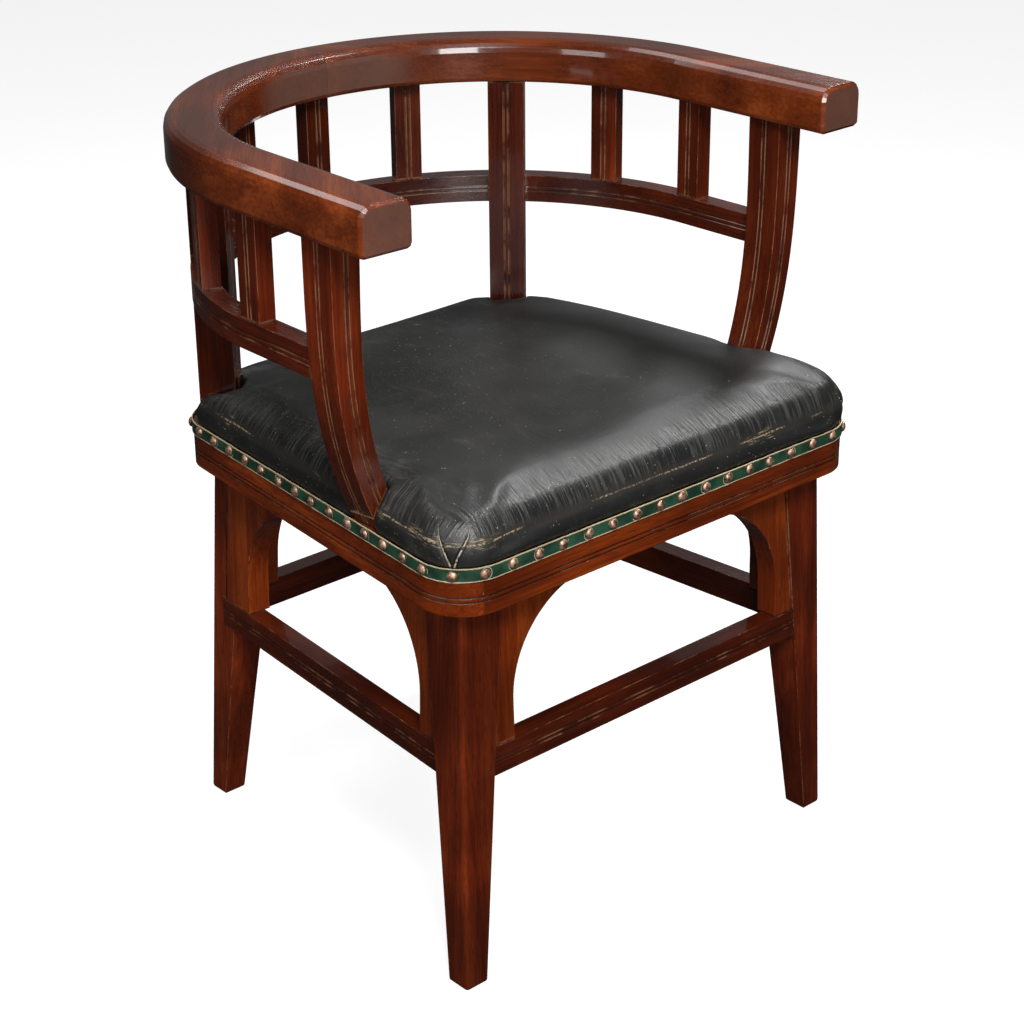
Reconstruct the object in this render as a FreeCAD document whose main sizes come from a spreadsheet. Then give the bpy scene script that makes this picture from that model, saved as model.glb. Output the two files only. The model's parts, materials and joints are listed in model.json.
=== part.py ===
import FreeCAD, Part
import math
import os
import re

import Sketcher

# Captains chair with a horseshoe arm rail on slats and curved front posts, a leather seat stuffed
# over a bow-cornered frame, and splayed legs with arched brackets and stretchers.
# Millimetres. +X is the sitter's left, the chair faces -Y, the floor is z = 0.
# Heights are taken from the floor. Plan sizes are taken from the centre of the horseshoe.
SIZES = {
    # Arm rail
    "overall_height": 760.0,
    "arm_outer_radius": 303.4,
    "arm_width": 54.8,
    "arm_thickness": 44.7,
    "arm_reach": 188.9,
    "arm_spread": 1.15,
    "arm_top_round": 13.0,
    "arm_bottom_round": 5.0,
    "arm_end_round": 3.0,
    # Mid rail
    "mid_rail_set_in": 16.0,
    "mid_rail_depth": 21.0,
    "mid_rail_top": 611.4,
    "mid_rail_height": 28.5,
    # Slats and rear posts, spaced by angle round the horseshoe
    "slat_step": 22.5,
    "slat_width": 28.0,
    "slat_depth": 18.0,
    "slat_set_in": 1.4,
    "rear_post_angle": 45.0,
    "rear_post_width": 37.6,
    "rear_post_depth": 36.0,
    "rear_post_set_in": 14.6,
    # Front posts, which curve in towards the seat
    "front_post_set_in": 11.3,
    "front_post_foot_inset": 6.6,
    "front_post_curve_low": 0.393,
    "front_post_curve_mid": 0.103,
    "front_post_curve_high": 0.013,
    "front_post_top_width": 31.0,
    "front_post_foot_width": 26.0,
    "front_post_rear": 89.0,
    "front_post_top_depth": 39.6,
    "front_post_foot_depth": 35.8,
    # Pairs of fine grooves that leave a bead between them
    "groove_width": 1.7,
    "groove_depth": 1.0,
    "groove_spacing": 4.6,
    # Seat frame
    "seat_front": 247.1,
    "seat_rear": 227.4,
    "seat_front_half_width": 267.3,
    "seat_rear_half_width": 219.6,
    "seat_corner_radius": 44.3,
    "seat_rail_bottom": 393.1,
    "seat_rail_height": 43.9,
    "seat_rail_width": 70.0,
    "seat_groove_height": 14.9,
    "seat_joint_inset": 35.0,
    # Legs: where the outer corner stands at the top and at the foot
    "front_leg_top_x": 236.4,
    "front_leg_top_y": 219.6,
    "front_leg_foot_x": 249.2,
    "front_leg_foot_y": 234.7,
    "rear_leg_top_x": 201.2,
    "rear_leg_top_y": 199.3,
    "rear_leg_foot_x": 209.0,
    "rear_leg_foot_y": 232.2,
    "leg_top_width": 49.0,
    "leg_foot_width": 25.0,
    "leg_round": 4.0,
    # Stretchers
    "stretcher_bottom": 211.4,
    "stretcher_height": 29.8,
    "stretcher_depth": 20.0,
    "stretcher_set_in": 0.5,
    # Arched brackets
    "bracket_thickness": 24.0,
    "bracket_set_in": 2.0,
    "front_bracket_foot": 25.0,
    "side_bracket_foot": 30.0,
    "arch_radius": 100.0,
    "arch_crown_height": 14.0,
    "bracket_tip": 14.0,
    # Leather seat
    "cushion_clearance": 0.3,
    "notch_clearance": 0.5,
    "cushion_wall_height": 13.0,
    "cushion_wall_bulge": 2.4,
    "cushion_crease_height": 25.0,
    "cushion_crease_bulge": 1.4,
    "cushion_roll_height": 35.5,
    "cushion_roll_inset": 8.0,
    "cushion_roll_tilt": 0.9,
    "cushion_shoulder_height": 43.0,
    "cushion_shoulder_inset": 28.0,
    "cushion_shoulder_round": 50.0,
    "cushion_shoulder_tilt": 1.3,
    "cushion_slope_height": 48.5,
    "cushion_slope_inset": 60.0,
    "cushion_slope_round": 54.0,
    "cushion_slope_tilt": 1.6,
    "cushion_upper_height": 53.0,
    "cushion_upper_inset": 100.0,
    "cushion_upper_round": 56.0,
    "cushion_upper_tilt": 1.6,
    "cushion_top_height": 56.0,
    "cushion_top_inset": 140.0,
    "cushion_top_round": 44.0,
    "cushion_top_tilt": 1.4,
    "cushion_crown_height": 57.5,
    "cushion_crown_inset": 178.0,
    "cushion_crown_round": 24.0,
    "cushion_crown_tilt": 1.2,
    # Band and nails
    "band_height": 13.0,
    "band_thickness": 1.5,
    "band_rise": 2.5,
    "nail_diameter": 9.5,
    "nail_dome": 2.6,
    "nail_edge": 1.0,
    "nail_flat": 2.2,
    "nail_spacing": 30.8,
    "nail_height": 6.5,
    # Webbing and bottom cloth
    "strap_width": 50.0,
    "strap_thickness": 1.5,
    "strap_end_inset": 16.0,
    "lengthwise_strap_spacing": 90.0,
    "crosswise_strap_front": 165.0,
    "crosswise_strap_spacing": 98.0,
    "hessian_thickness": 0.8,
    "hessian_inset": 24.0,
    "stuffing_recess_inset": 13.0,
    # Glued corner blocks
    "corner_block_leg": 48.0,
    "corner_block_height": 30.0,
    "corner_block_set_up": 6.0,
}

doc = FreeCAD.newDocument("captains_chair")
sheet = doc.addObject("Spreadsheet::Sheet", "Sizes")
for row, (alias, number) in enumerate(SIZES.items(), start=1):
    sheet.set(f"A{row}", alias)
    sheet.set(f"B{row}", str(number))
    sheet.setAlias(f"B{row}", alias)
doc.recompute()

NODES = []


def formula(text):
    """Point every size named in a formula at its cell."""
    return re.sub(r"[A-Za-z_]\w*", lambda word: f"Sizes.{word[0]}" if word[0] in SIZES else word[0], text)


def value(text):
    """Work out a formula as a number."""
    result = sheet.evalExpression(formula(text))
    return float(getattr(result, "Value", result))


def bind(item, **formulas):
    """Tie properties of an object to formulas; two underscores stand for a dot."""
    for name, text in formulas.items():
        item.setExpression(name.replace("__", "."), formula(text))


def node(item, name):
    """Name an object as a finished piece."""
    item.Label = name
    NODES.append(item)
    return item


# Heights and places that several pieces share
SEAT_TOP = "(seat_rail_bottom + seat_rail_height)"
ARM_BOTTOM = "(overall_height - arm_thickness)"
STRETCHER_TOP = "(stretcher_bottom + stretcher_height)"
STRAPS_TOP = f"({SEAT_TOP} + 2 * strap_thickness)"
# The chair stands with the middle of its length at the origin.
BACK_CENTRE = "((seat_front + band_thickness + nail_dome - arm_outer_radius) / 2)"
SIDE_SLOPE = "((seat_front_half_width - seat_rear_half_width) / (seat_front + seat_rear))"
SIDE_OFFSET = f"sqrt(1 + {SIDE_SLOPE} ^ 2)"


def place(item, x="0", y="0", z="0", turn="0"):
    """Put an object, turned about Z, at a place given from the centre of the horseshoe."""
    item.Placement = FreeCAD.Placement(
        FreeCAD.Vector(value(x), value(f"{BACK_CENTRE} + {y}"), value(z)),
        FreeCAD.Rotation(FreeCAD.Vector(0, 0, 1), value(turn)),
    )
    bind(item, Placement__Base__x=x, Placement__Base__y=f"{BACK_CENTRE} + {y}", Placement__Base__z=z)
    if turn != "0":
        bind(item, Placement__Rotation__Angle=turn)


def body(name):
    """Start a body."""
    return doc.addObject("PartDesign::Body", name)


def sketch(owner, name, role, height="0", tilt="0"):
    """Lay a sketch on an origin plane of a body, raised along the plane's normal and tilted."""
    drawing = owner.newObject("Sketcher::SketchObject", name)
    plane = next(item for item in owner.Origin.OriginFeatures if item.Role == role)
    drawing.AttachmentSupport = [(plane, "")]
    drawing.MapMode = "FlatFace"
    drawing.AttachmentOffset = FreeCAD.Placement(
        FreeCAD.Vector(0, 0, value(height)),
        FreeCAD.Rotation(FreeCAD.Vector(1, 0, 0), value(tilt)),
    )
    bind(drawing, AttachmentOffset__Base__z=height)
    if tilt != "0":
        bind(drawing, AttachmentOffset__Rotation__Angle=tilt)
    return drawing


def fix(drawing, geometry, point, x, y):
    """Hold a point of a sketch at a place given by two formulas."""
    for kind, text in (("DistanceX", x), ("DistanceY", y)):
        index = drawing.addConstraint(Sketcher.Constraint(kind, geometry, point, value(text)))
        drawing.setExpression(f"Constraints[{index}]", formula(text))


def arc_between(start, end, radius, side):
    """Arc from start to end with its centre on the left (side 1) or the right (side -1)."""
    chord = end - start
    middle = (start + end) * 0.5
    rise = math.sqrt(radius ** 2 - (chord.Length / 2) ** 2)
    across = FreeCAD.Vector(-chord.y, chord.x, 0).normalize()
    centre = middle + across * (rise * side)
    angles = [math.atan2(point.y - centre.y, point.x - centre.x) for point in (start, end)]
    if side < 0:
        angles.reverse()
    if angles[1] < angles[0]:
        angles[1] += 2 * math.pi
    return Part.ArcOfCircle(Part.Circle(centre, FreeCAD.Vector(0, 0, 1), radius), *angles)


def outline(drawing, corners):
    """Draw a closed outline. A corner is (x, y), with (radius, side) where an arc leaves it."""
    spots = [FreeCAD.Vector(value(corner[0]), value(corner[1]), 0) for corner in corners]
    ends = []
    for number, corner in enumerate(corners):
        start = spots[number]
        end = spots[(number + 1) % len(spots)]
        if len(corner) == 2:
            geometry = drawing.addGeometry(Part.LineSegment(start, end))
            ends.append((geometry, 1, 2))
        else:
            radius, side = corner[2], corner[3]
            geometry = drawing.addGeometry(arc_between(start, end, value(radius), side))
            index = drawing.addConstraint(Sketcher.Constraint("Radius", geometry, value(radius)))
            drawing.setExpression(f"Constraints[{index}]", formula(radius))
            ends.append((geometry, 1, 2) if side > 0 else (geometry, 2, 1))
    for number, corner in enumerate(corners):
        geometry, first, last = ends[number]
        after, after_first, _ = ends[(number + 1) % len(ends)]
        drawing.addConstraint(Sketcher.Constraint("Coincident", geometry, last, after, after_first))
        fix(drawing, geometry, first, corner[0], corner[1])
    return drawing


def pad(owner, drawing, length, name="Pad", midplane=False):
    """Pad a sketch along its plane's normal."""
    feature = owner.newObject("PartDesign::Pad", name)
    feature.Profile = drawing
    feature.SideType = "Symmetric" if midplane else "One side"
    feature.Length = value(length)
    bind(feature, Length=length)
    drawing.Visibility = False
    return feature


def round_edges(owner, base, radius, chosen, name):
    """Round those edges of a feature that a test on the edge picks."""
    doc.recompute()
    names = [f"Edge{number}" for number, edge in enumerate(base.Shape.Edges, start=1) if chosen(edge)]
    feature = owner.newObject("PartDesign::Fillet", name)
    feature.Base = (base, names)
    feature.Radius = value(radius)
    bind(feature, Radius=radius)
    return feature


def extent(edge, axis):
    """Lowest and highest place of an edge along an axis."""
    box = edge.BoundBox
    return getattr(box, axis + "Min"), getattr(box, axis + "Max")


def at(edge, axis, place_along, slack=1e-3):
    """Whether all of an edge lies at one place along an axis."""
    low, high = extent(edge, axis)
    return abs(low - place_along) < slack and abs(high - place_along) < slack


def mirrored(source, name):
    """The opposite hand of a piece, across the chair's centre plane."""
    copy = doc.addObject("Part::Mirroring", name)
    copy.Source = source
    copy.Base = (0, 0, 0)
    copy.Normal = (1, 0, 0)
    return node(copy, name)


def cut(base, tool, name):
    """One object less another."""
    result = doc.addObject("Part::Cut", name)
    result.Base = base
    result.Tool = tool
    return result


def grooved_face(along, across, centre, face, cut_side):
    """Corners of two fine grooves in a straight face of a profile.

    along and across say which coordinate runs along the face; centre is the middle of the pair on
    it, face the face's own place, and cut_side the direction into the wood.
    """
    corners = []
    for middle in ("-groove_spacing / 2", "groove_spacing / 2"):
        for step, depth in (("-groove_width / 2", "0"), ("0", "groove_depth"), ("groove_width / 2", "0")):
            run = f"{centre} + {along} * ({middle}) + {along} * ({step})"
            corners.append((run, f"{face} + {cut_side} * ({depth})"))
    if across == "x":
        corners = [(second, first) for first, second in corners]
    return corners


def turned(owner, drawing, angle, midplane=False):
    """Turn a section about the vertical axis of its body."""
    feature = owner.newObject("PartDesign::Revolution", owner.Name + "Turn")
    feature.Profile = drawing
    feature.ReferenceAxis = (drawing, ["V_Axis"])
    feature.Midplane = midplane
    feature.Angle = value(angle)
    bind(feature, Angle=angle)
    return feature


def lofted(owner, sections, name, ruled=False):
    """Loft through sections."""
    doc.recompute()
    feature = owner.newObject("PartDesign::AdditiveLoft", name)
    feature.Profile = sections[0]
    feature.Sections = sections[1:]
    feature.Ruled = ruled
    return feature


def joined(first, second, name):
    """Two lengths of one piece, end to end."""
    whole = doc.addObject("Part::Fuse", name)
    whole.Base = first
    whole.Tool = second
    whole.Refine = True
    return whole


# Arm rail: a section with rounded arrises, turned round the horseshoe and carried on straight.
# Each arris is worked in flats, and the front end is eased all round.
ARM_INNER = "(arm_outer_radius - arm_width)"
SPREAD_TURN = "-90 + arm_spread"
UPPER_FLATS = 4
LOWER_FLATS = 2


def rounded_corner(x, y, radius, first_angle, ease, flats):
    """Flats round a corner of a section, whose rounding is centred at x and y."""
    corners = []
    for number in range(flats + 1):
        angle = f"({first_angle} + 90 * {number} / {flats})"
        corners.append((f"{x} + ({radius} - {ease}) * cos({angle})",
                        f"{y} + ({radius} - {ease}) * sin({angle})"))
    return corners


def arm_section(owner, name, height="0", ease="0"):
    """Section of the arm rail across its run, drawn in by an ease."""
    low = f"({ARM_BOTTOM} + arm_bottom_round)"
    high = "(overall_height - arm_top_round)"
    return outline(sketch(owner, name, "YZ_Plane", height=height), [
        *rounded_corner("(arm_outer_radius - arm_bottom_round)", low, "arm_bottom_round", "-90",
                        ease, LOWER_FLATS),
        *rounded_corner("(arm_outer_radius - arm_top_round)", high, "arm_top_round", "0",
                        ease, UPPER_FLATS),
        *rounded_corner(f"({ARM_INNER} + arm_top_round)", high, "arm_top_round", "90",
                        ease, UPPER_FLATS),
        *rounded_corner(f"({ARM_INNER} + arm_bottom_round)", low, "arm_bottom_round", "180",
                        ease, LOWER_FLATS),
    ])


arm_curve = body("ArmCurve")
turned(arm_curve, arm_section(arm_curve, "ArmCurveSection"), "90 - arm_spread")
place(arm_curve, turn=SPREAD_TURN)
arm_run = body("ArmRun")
arm_length = "((arm_outer_radius * sin(arm_spread) + arm_reach) / cos(arm_spread))"
lofted(arm_run, [
    arm_section(arm_run, "ArmRunSection"),
    arm_section(arm_run, "ArmEndSection", height=f"{arm_length} - arm_end_round"),
    arm_section(arm_run, "ArmTipSection", height=arm_length, ease="arm_end_round"),
], "ArmLoft", ruled=True)
place(arm_run, turn=SPREAD_TURN)
arm_left = joined(arm_curve, arm_run, "ArmLeft")
node(arm_left, "arm_rail_left")
mirrored(arm_left, "arm_rail_right")


def upright(name, outer_radius, width, depth, bottom, height, angle):
    """A straight post or slat that faces the horseshoe's centre, with beads on both faces."""
    post = body("Upright_" + name)
    plan = sketch(post, "Plan_" + name, "XY_Plane", height=bottom)
    inner = f"({outer_radius} - {depth})"
    outline(plan, [
        (f"-{width} / 2", inner),
        *grooved_face("1", "y", "0", inner, "1"),
        (f"{width} / 2", inner),
        (f"{width} / 2", outer_radius),
        *grooved_face("-1", "y", "0", outer_radius, "-1"),
        (f"-{width} / 2", outer_radius),
    ])
    pad(post, plan, height)
    place(post, turn=angle)
    return node(post, name)


rear_post_height = f"{ARM_BOTTOM} - {SEAT_TOP}"
POST_OUTER = "(arm_outer_radius - rear_post_set_in)"
rear_posts = [
    upright(f"rear_post_{side}", POST_OUTER, "rear_post_width", "rear_post_depth",
            SEAT_TOP, rear_post_height, f"{sign}rear_post_angle")
    for side, sign in (("left", "-"), ("right", ""))
]

MID_OUTER = "(arm_outer_radius - mid_rail_set_in)"
SLAT_OUTER = f"({MID_OUTER} - slat_set_in)"
for slat_name, steps in (
    ("back_slat_centre", 0), ("back_slat_left", -1), ("back_slat_right", 1),
    ("side_slat_left_rear", -3), ("side_slat_right_rear", 3),
    ("side_slat_left_front", -4), ("side_slat_right_front", 4),
):
    upright(slat_name, SLAT_OUTER, "slat_width", "slat_depth", "mid_rail_top",
            f"{ARM_BOTTOM} - mid_rail_top", f"{steps} * slat_step")


# Front posts: sections at five even heights, lofted into one sweep, with beads on three faces.
# The head follows the arm rail and the foot the side of the seat; the curve is given as the
# shares of the way in that each height has come.
FRONT_POST_HEAD = "(arm_outer_radius - front_post_set_in)"
FRONT_POST_FOOT = (
    "(seat_front_half_width - (seat_front_half_width - seat_rear_half_width)"
    " * (seat_front - front_post_rear - front_post_foot_depth / 2) / (seat_front + seat_rear)"
    " - front_post_foot_inset)"
)


def front_post_sections(post, grow, reach_out, beads):
    """Sections of the left front post, made larger all round and reaching further outwards."""
    sections = []
    curve = ("1", "front_post_curve_low", "front_post_curve_mid", "front_post_curve_high", "0")
    for number, way_in in enumerate(curve):
        face = f"({FRONT_POST_HEAD} - ({FRONT_POST_HEAD} - {FRONT_POST_FOOT}) * {way_in})"
        share = f"{number} / {len(curve) - 1}"
        width = f"(front_post_foot_width + (front_post_top_width - front_post_foot_width) * {share})"
        depth = f"(front_post_foot_depth + (front_post_top_depth - front_post_foot_depth) * {share})"
        section = sketch(post, f"{post.Name}Section{number}", "XY_Plane",
                         height=f"{SEAT_TOP} + ({rear_post_height}) * {share}")
        outer = f"({face} + {reach_out})"
        inner = f"({face} - {width} - {grow})"
        front = f"(-front_post_rear - {depth} - {grow})"
        rear = f"(-front_post_rear + {grow})"
        mid_x = f"({face} - {width} / 2)"
        mid_y = f"(-front_post_rear - {depth} / 2)"
        outline(section, [
            (inner, front),
            *(grooved_face("1", "y", mid_x, front, "1") if beads else []),
            (outer, front),
            *(grooved_face("1", "x", mid_y, outer, "-1") if beads else []),
            (outer, rear),
            (inner, rear),
            *(grooved_face("-1", "x", mid_y, inner, "1") if beads else []),
        ])
        sections.append(section)
    return sections


front_post = body("FrontPost")
lofted(front_post, front_post_sections(front_post, "0", "0", True), "PostLoft")
place(front_post)
node(front_post, "front_post_left")
mirrored(front_post, "front_post_right")

# Mid rail: a grooved section turned round the horseshoe behind the sitter and carried straight
# on at the sides
MID_INNER = f"({MID_OUTER} - mid_rail_depth)"
MID_BOTTOM = "(mid_rail_top - mid_rail_height)"
MID_CENTRE = "(mid_rail_top - mid_rail_height / 2)"


def mid_section(owner, name):
    """Section of the mid rail, on the plane that looks along X."""
    drawing = sketch(owner, name, "YZ_Plane")
    return outline(drawing, [
        (MID_INNER, MID_BOTTOM),
        (MID_OUTER, MID_BOTTOM),
        *grooved_face("1", "x", MID_CENTRE, MID_OUTER, "-1"),
        (MID_OUTER, "mid_rail_top"),
        (MID_INNER, "mid_rail_top"),
        *grooved_face("-1", "x", MID_CENTRE, MID_INNER, "1"),
    ])


mid_back = body("MidRailBack")
turned(mid_back, mid_section(mid_back, "MidSection"), "2 * rear_post_angle", True)
place(mid_back)
mid_back_trimmed = cut(cut(mid_back, rear_posts[0], "MidBackLeftEnd"), rear_posts[1], "MidBackEnds")
node(mid_back_trimmed, "mid_rail_back")

mid_side = body("MidRailSide")
turned(mid_side, mid_section(mid_side, "MidSideSection"), "rear_post_angle - arm_spread")
place(mid_side, turn=SPREAD_TURN)
mid_run = body("MidRailRun")
pad(mid_run, mid_section(mid_run, "MidRunSection"), "front_post_rear + front_post_foot_depth / 2")
place(mid_run, turn=SPREAD_TURN)
mid_side_whole = joined(mid_side, mid_run, "MidSideWhole")
post_bay = doc.addObject("Part::Box", "FrontPostBay")
bind(post_bay, Length="arm_outer_radius", Width="arm_outer_radius", Height="overall_height")
place(post_bay, y="-front_post_rear - arm_outer_radius")
mid_side_trimmed = cut(cut(mid_side_whole, rear_posts[0], "MidSideRearEnd"), post_bay, "MidSideEnds")
node(mid_side_trimmed, "mid_rail_left")
mirrored(mid_side_trimmed, "mid_rail_right")


# Seat frame: a ring of flat rails with rounded corners and a bead low on its face
def seat_corner(inset, front):
    """Corner of the seat's plan, moved in from its sides by an inset."""
    if front:
        x = f"(seat_front_half_width - {SIDE_SLOPE} * ({inset}) - {SIDE_OFFSET} * ({inset}))"
        return x, f"(-seat_front + ({inset}))"
    x = f"(seat_rear_half_width + {SIDE_SLOPE} * ({inset}) - {SIDE_OFFSET} * ({inset}))"
    return x, f"(seat_rear - ({inset}))"


def seat_corners(inset):
    """The four corners of the seat's plan, moved in by an inset."""
    front_x, front_y = seat_corner(inset, True)
    rear_x, rear_y = seat_corner(inset, False)
    return [(f"-{front_x}", front_y), (front_x, front_y), (rear_x, rear_y), (f"-{rear_x}", rear_y)]


def rounded_seat(drawing, inset, radius):
    """Plan of the seat with rounded corners, moved in by an inset."""
    corners = seat_corners(inset)
    spots = [FreeCAD.Vector(value(x), value(y), 0) for x, y in corners]
    size = value(radius)
    guides = []
    for number, spot in enumerate(spots):
        guide = drawing.addGeometry(Part.LineSegment(spot, spots[(number + 1) % 4]), True)
        fix(drawing, guide, 1, *corners[number])
        guides.append(guide)
    for number, guide in enumerate(guides):
        after = guides[(number + 1) % 4]
        drawing.addConstraint(Sketcher.Constraint("Coincident", guide, 2, after, 1))
    sides = []
    bends = []
    for number, spot in enumerate(spots):
        before = (spots[number - 1] - spot).normalize()
        onward = (spots[(number + 1) % 4] - spot).normalize()
        half_angle = before.getAngle(onward) / 2
        run = size / math.tan(half_angle)
        middle = (before + onward).normalize() * (size / math.sin(half_angle))
        first = spot + before * run
        last = spot + onward * run
        centre = spot + middle
        angles = [math.atan2(point.y - centre.y, point.x - centre.x) for point in (first, last)]
        if angles[1] < angles[0]:
            angles[1] += 2 * math.pi
        circle = Part.Circle(centre, FreeCAD.Vector(0, 0, 1), size)
        bends.append(drawing.addGeometry(Part.ArcOfCircle(circle, *angles)))
        sides.append((last, number))
    for last, number in sides:
        spot = spots[(number + 1) % 4]
        before = (spots[number] - spot).normalize()
        onward = (spots[(number + 2) % 4] - spot).normalize()
        run = size / math.tan(before.getAngle(onward) / 2)
        line = drawing.addGeometry(Part.LineSegment(last, spot + before * run))
        drawing.addConstraint(Sketcher.Constraint("Tangent", bends[number], 2, line, 1))
        drawing.addConstraint(Sketcher.Constraint("Tangent", line, 2, bends[(number + 1) % 4], 1))
        drawing.addConstraint(Sketcher.Constraint("PointOnObject", line, 1, guides[number]))
        drawing.addConstraint(Sketcher.Constraint("PointOnObject", line, 2, guides[number]))
        index = drawing.addConstraint(Sketcher.Constraint("Radius", bends[number], size))
        drawing.setExpression(f"Constraints[{index}]", formula(radius))
    return drawing


def ring(name, height, thickness, outer_inset, inner_inset, sharp_inside=False):
    """A flat ring that follows the seat's plan."""
    hoop = body(name)
    outside = rounded_seat(sketch(hoop, name + "Outside", "XY_Plane", height=height),
                           outer_inset, f"seat_corner_radius - ({outer_inset})")
    pad(hoop, outside, thickness)
    inside = sketch(hoop, name + "Inside", "XY_Plane", height=height)
    if sharp_inside:
        outline(inside, seat_corners(inner_inset))
    else:
        rounded_seat(inside, inner_inset, f"seat_corner_radius - ({inner_inset})")
    hollow = hoop.newObject("PartDesign::Pocket", name + "Hollow")
    hollow.Profile = inside
    hollow.Type = "ThroughAll"
    hollow.Reversed = True
    place(hoop)
    return hoop


frame_ring = ring("FrameRing", "seat_rail_bottom", "seat_rail_height", "0", "seat_rail_width", True)
for groove_name, groove_side in (("LowerGroove", "-"), ("UpperGroove", "+")):
    groove = ring(groove_name,
                  f"seat_rail_bottom + seat_groove_height {groove_side} groove_spacing / 2",
                  "groove_width / 1.4", "-groove_depth", "groove_depth")
    frame_ring = cut(frame_ring, groove, "FrameLess" + groove_name)

FRONT_JOINT = "(seat_front_half_width - seat_joint_inset)"
REAR_JOINT = "(seat_rear_half_width - seat_joint_inset)"
BEYOND = "(seat_corner_radius)"
front_inner = seat_corner("seat_rail_width", True)
rear_inner = seat_corner("seat_rail_width", False)


def frame_share(name, corners):
    """The part of the seat frame inside a plan outline."""
    area = body("Area_" + name)
    plan = outline(sketch(area, "AreaPlan_" + name, "XY_Plane", height="seat_rail_bottom"), corners)
    pad(area, plan, "seat_rail_height")
    place(area)
    share = doc.addObject("Part::Common", "Share_" + name)
    share.Base = frame_ring
    share.Tool = area
    return node(share, name)


frame_share("seat_rail_front", [
    (f"-{FRONT_JOINT}", f"-seat_front - {BEYOND}"), (FRONT_JOINT, f"-seat_front - {BEYOND}"),
    (FRONT_JOINT, "-seat_front"), front_inner,
    (f"-{front_inner[0]}", front_inner[1]), (f"-{FRONT_JOINT}", "-seat_front"),
])
frame_share("seat_rail_rear", [
    (REAR_JOINT, f"seat_rear + {BEYOND}"), (f"-{REAR_JOINT}", f"seat_rear + {BEYOND}"),
    (f"-{REAR_JOINT}", "seat_rear"), (f"-{rear_inner[0]}", rear_inner[1]),
    rear_inner, (REAR_JOINT, "seat_rear"),
])
side_rail = frame_share("seat_rail_left", [
    (FRONT_JOINT, f"-seat_front - {BEYOND}"),
    (f"seat_front_half_width + {BEYOND}", f"-seat_front - {BEYOND}"),
    (f"seat_front_half_width + {BEYOND}", f"seat_rear + {BEYOND}"),
    (REAR_JOINT, f"seat_rear + {BEYOND}"), (REAR_JOINT, "seat_rear"),
    rear_inner, front_inner, (FRONT_JOINT, "-seat_front"),
])
mirrored(side_rail, "seat_rail_right")


# Legs: square, splayed and tapered down to the foot, with the outer corner and the foot rounded
def leg_at(end, axis, height):
    """Place of a leg's outer corner at a height."""
    foot = f"{end}_leg_foot_{axis}"
    top = f"{end}_leg_top_{axis}"
    return f"({foot} + ({top} - {foot}) * ({height}) / seat_rail_bottom)"


def leg_width_at(height):
    """Width of a leg at a height."""
    return f"(leg_foot_width + (leg_top_width - leg_foot_width) * ({height}) / seat_rail_bottom)"


def leg(name, end, front):
    """A left leg, at the front or at the rear."""
    post = body("Leg_" + name)
    wedge = post.newObject("PartDesign::AdditiveWedge", "Wedge_" + name)
    wedge.Placement = FreeCAD.Placement(
        FreeCAD.Vector(0, 0, 0), FreeCAD.Rotation(FreeCAD.Vector(1, 0, 0), 90))
    sizes = {"Ymin": "0", "Ymax": "seat_rail_bottom"}
    for level, mark in (("foot", ""), ("top", "2")):
        x = f"{end}_leg_{level}_x"
        y = f"{end}_leg_{level}_y"
        width = f"leg_{level}_width"
        sizes[f"X{mark}min"] = f"{x} - {width}"
        sizes[f"X{mark}max"] = x
        sizes[f"Z{mark}min"] = f"{y} - {width}" if front else f"-{y}"
        sizes[f"Z{mark}max"] = y if front else f"{width} - {y}"
    for size, text in sizes.items():
        setattr(wedge, size, value(text))
    bind(wedge, **sizes)
    corner_x = value(f"({end}_leg_foot_x + {end}_leg_top_x) / 2")
    corner_y = value(f"({end}_leg_foot_y + {end}_leg_top_y) / 2") * (-1 if front else 1)

    def rounded(edge):
        middle = edge.BoundBox.Center
        outer = abs(middle.x - corner_x) < 0.1 and abs(middle.y - corner_y) < 0.1
        return outer or at(edge, "Z", 0)

    round_edges(post, wedge, "leg_round", rounded, "LegRound_" + name)
    place(post)
    return node(post, name)


leg_front_left = leg("leg_front_left", "front", True)
leg_rear_left = leg("leg_rear_left", "rear", False)
leg_front_right = mirrored(leg_front_left, "leg_front_right")
leg_rear_right = mirrored(leg_rear_left, "leg_rear_right")


STRETCHER_MIDDLE = "(stretcher_bottom + stretcher_height / 2)"
LEG_WIDTH = leg_width_at(STRETCHER_MIDDLE)


def bar(name, length):
    """A stretcher with its outer face at y = 0 and its length along X, beads on the outer face."""
    rod = body("Bar_" + name)
    drawing = sketch(rod, "BarSection_" + name, "YZ_Plane")
    outline(drawing, [
        ("0", "stretcher_bottom"),
        ("stretcher_depth", "stretcher_bottom"),
        ("stretcher_depth", STRETCHER_TOP),
        ("0", STRETCHER_TOP),
        *grooved_face("-1", "x", STRETCHER_MIDDLE, "0", "1"),
    ])
    pad(rod, drawing, length, midplane=True)
    return rod


front_bar = bar("front", f"2 * ({leg_at('front', 'x', STRETCHER_MIDDLE)} - {LEG_WIDTH} / 2)")
place(front_bar, y=f"-{leg_at('front', 'y', STRETCHER_TOP)} + stretcher_set_in")
node(cut(cut(front_bar, leg_front_left, "FrontBarLeft"), leg_front_right, "FrontBarEnds"),
     "stretcher_front")
rear_bar = bar("rear", f"2 * ({leg_at('rear', 'x', STRETCHER_MIDDLE)} - {LEG_WIDTH} / 2)")
place(rear_bar, y=f"{leg_at('rear', 'y', STRETCHER_TOP)} - stretcher_set_in", turn="180")
node(cut(cut(rear_bar, leg_rear_left, "RearBarLeft"), leg_rear_right, "RearBarEnds"),
     "stretcher_rear")

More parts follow.
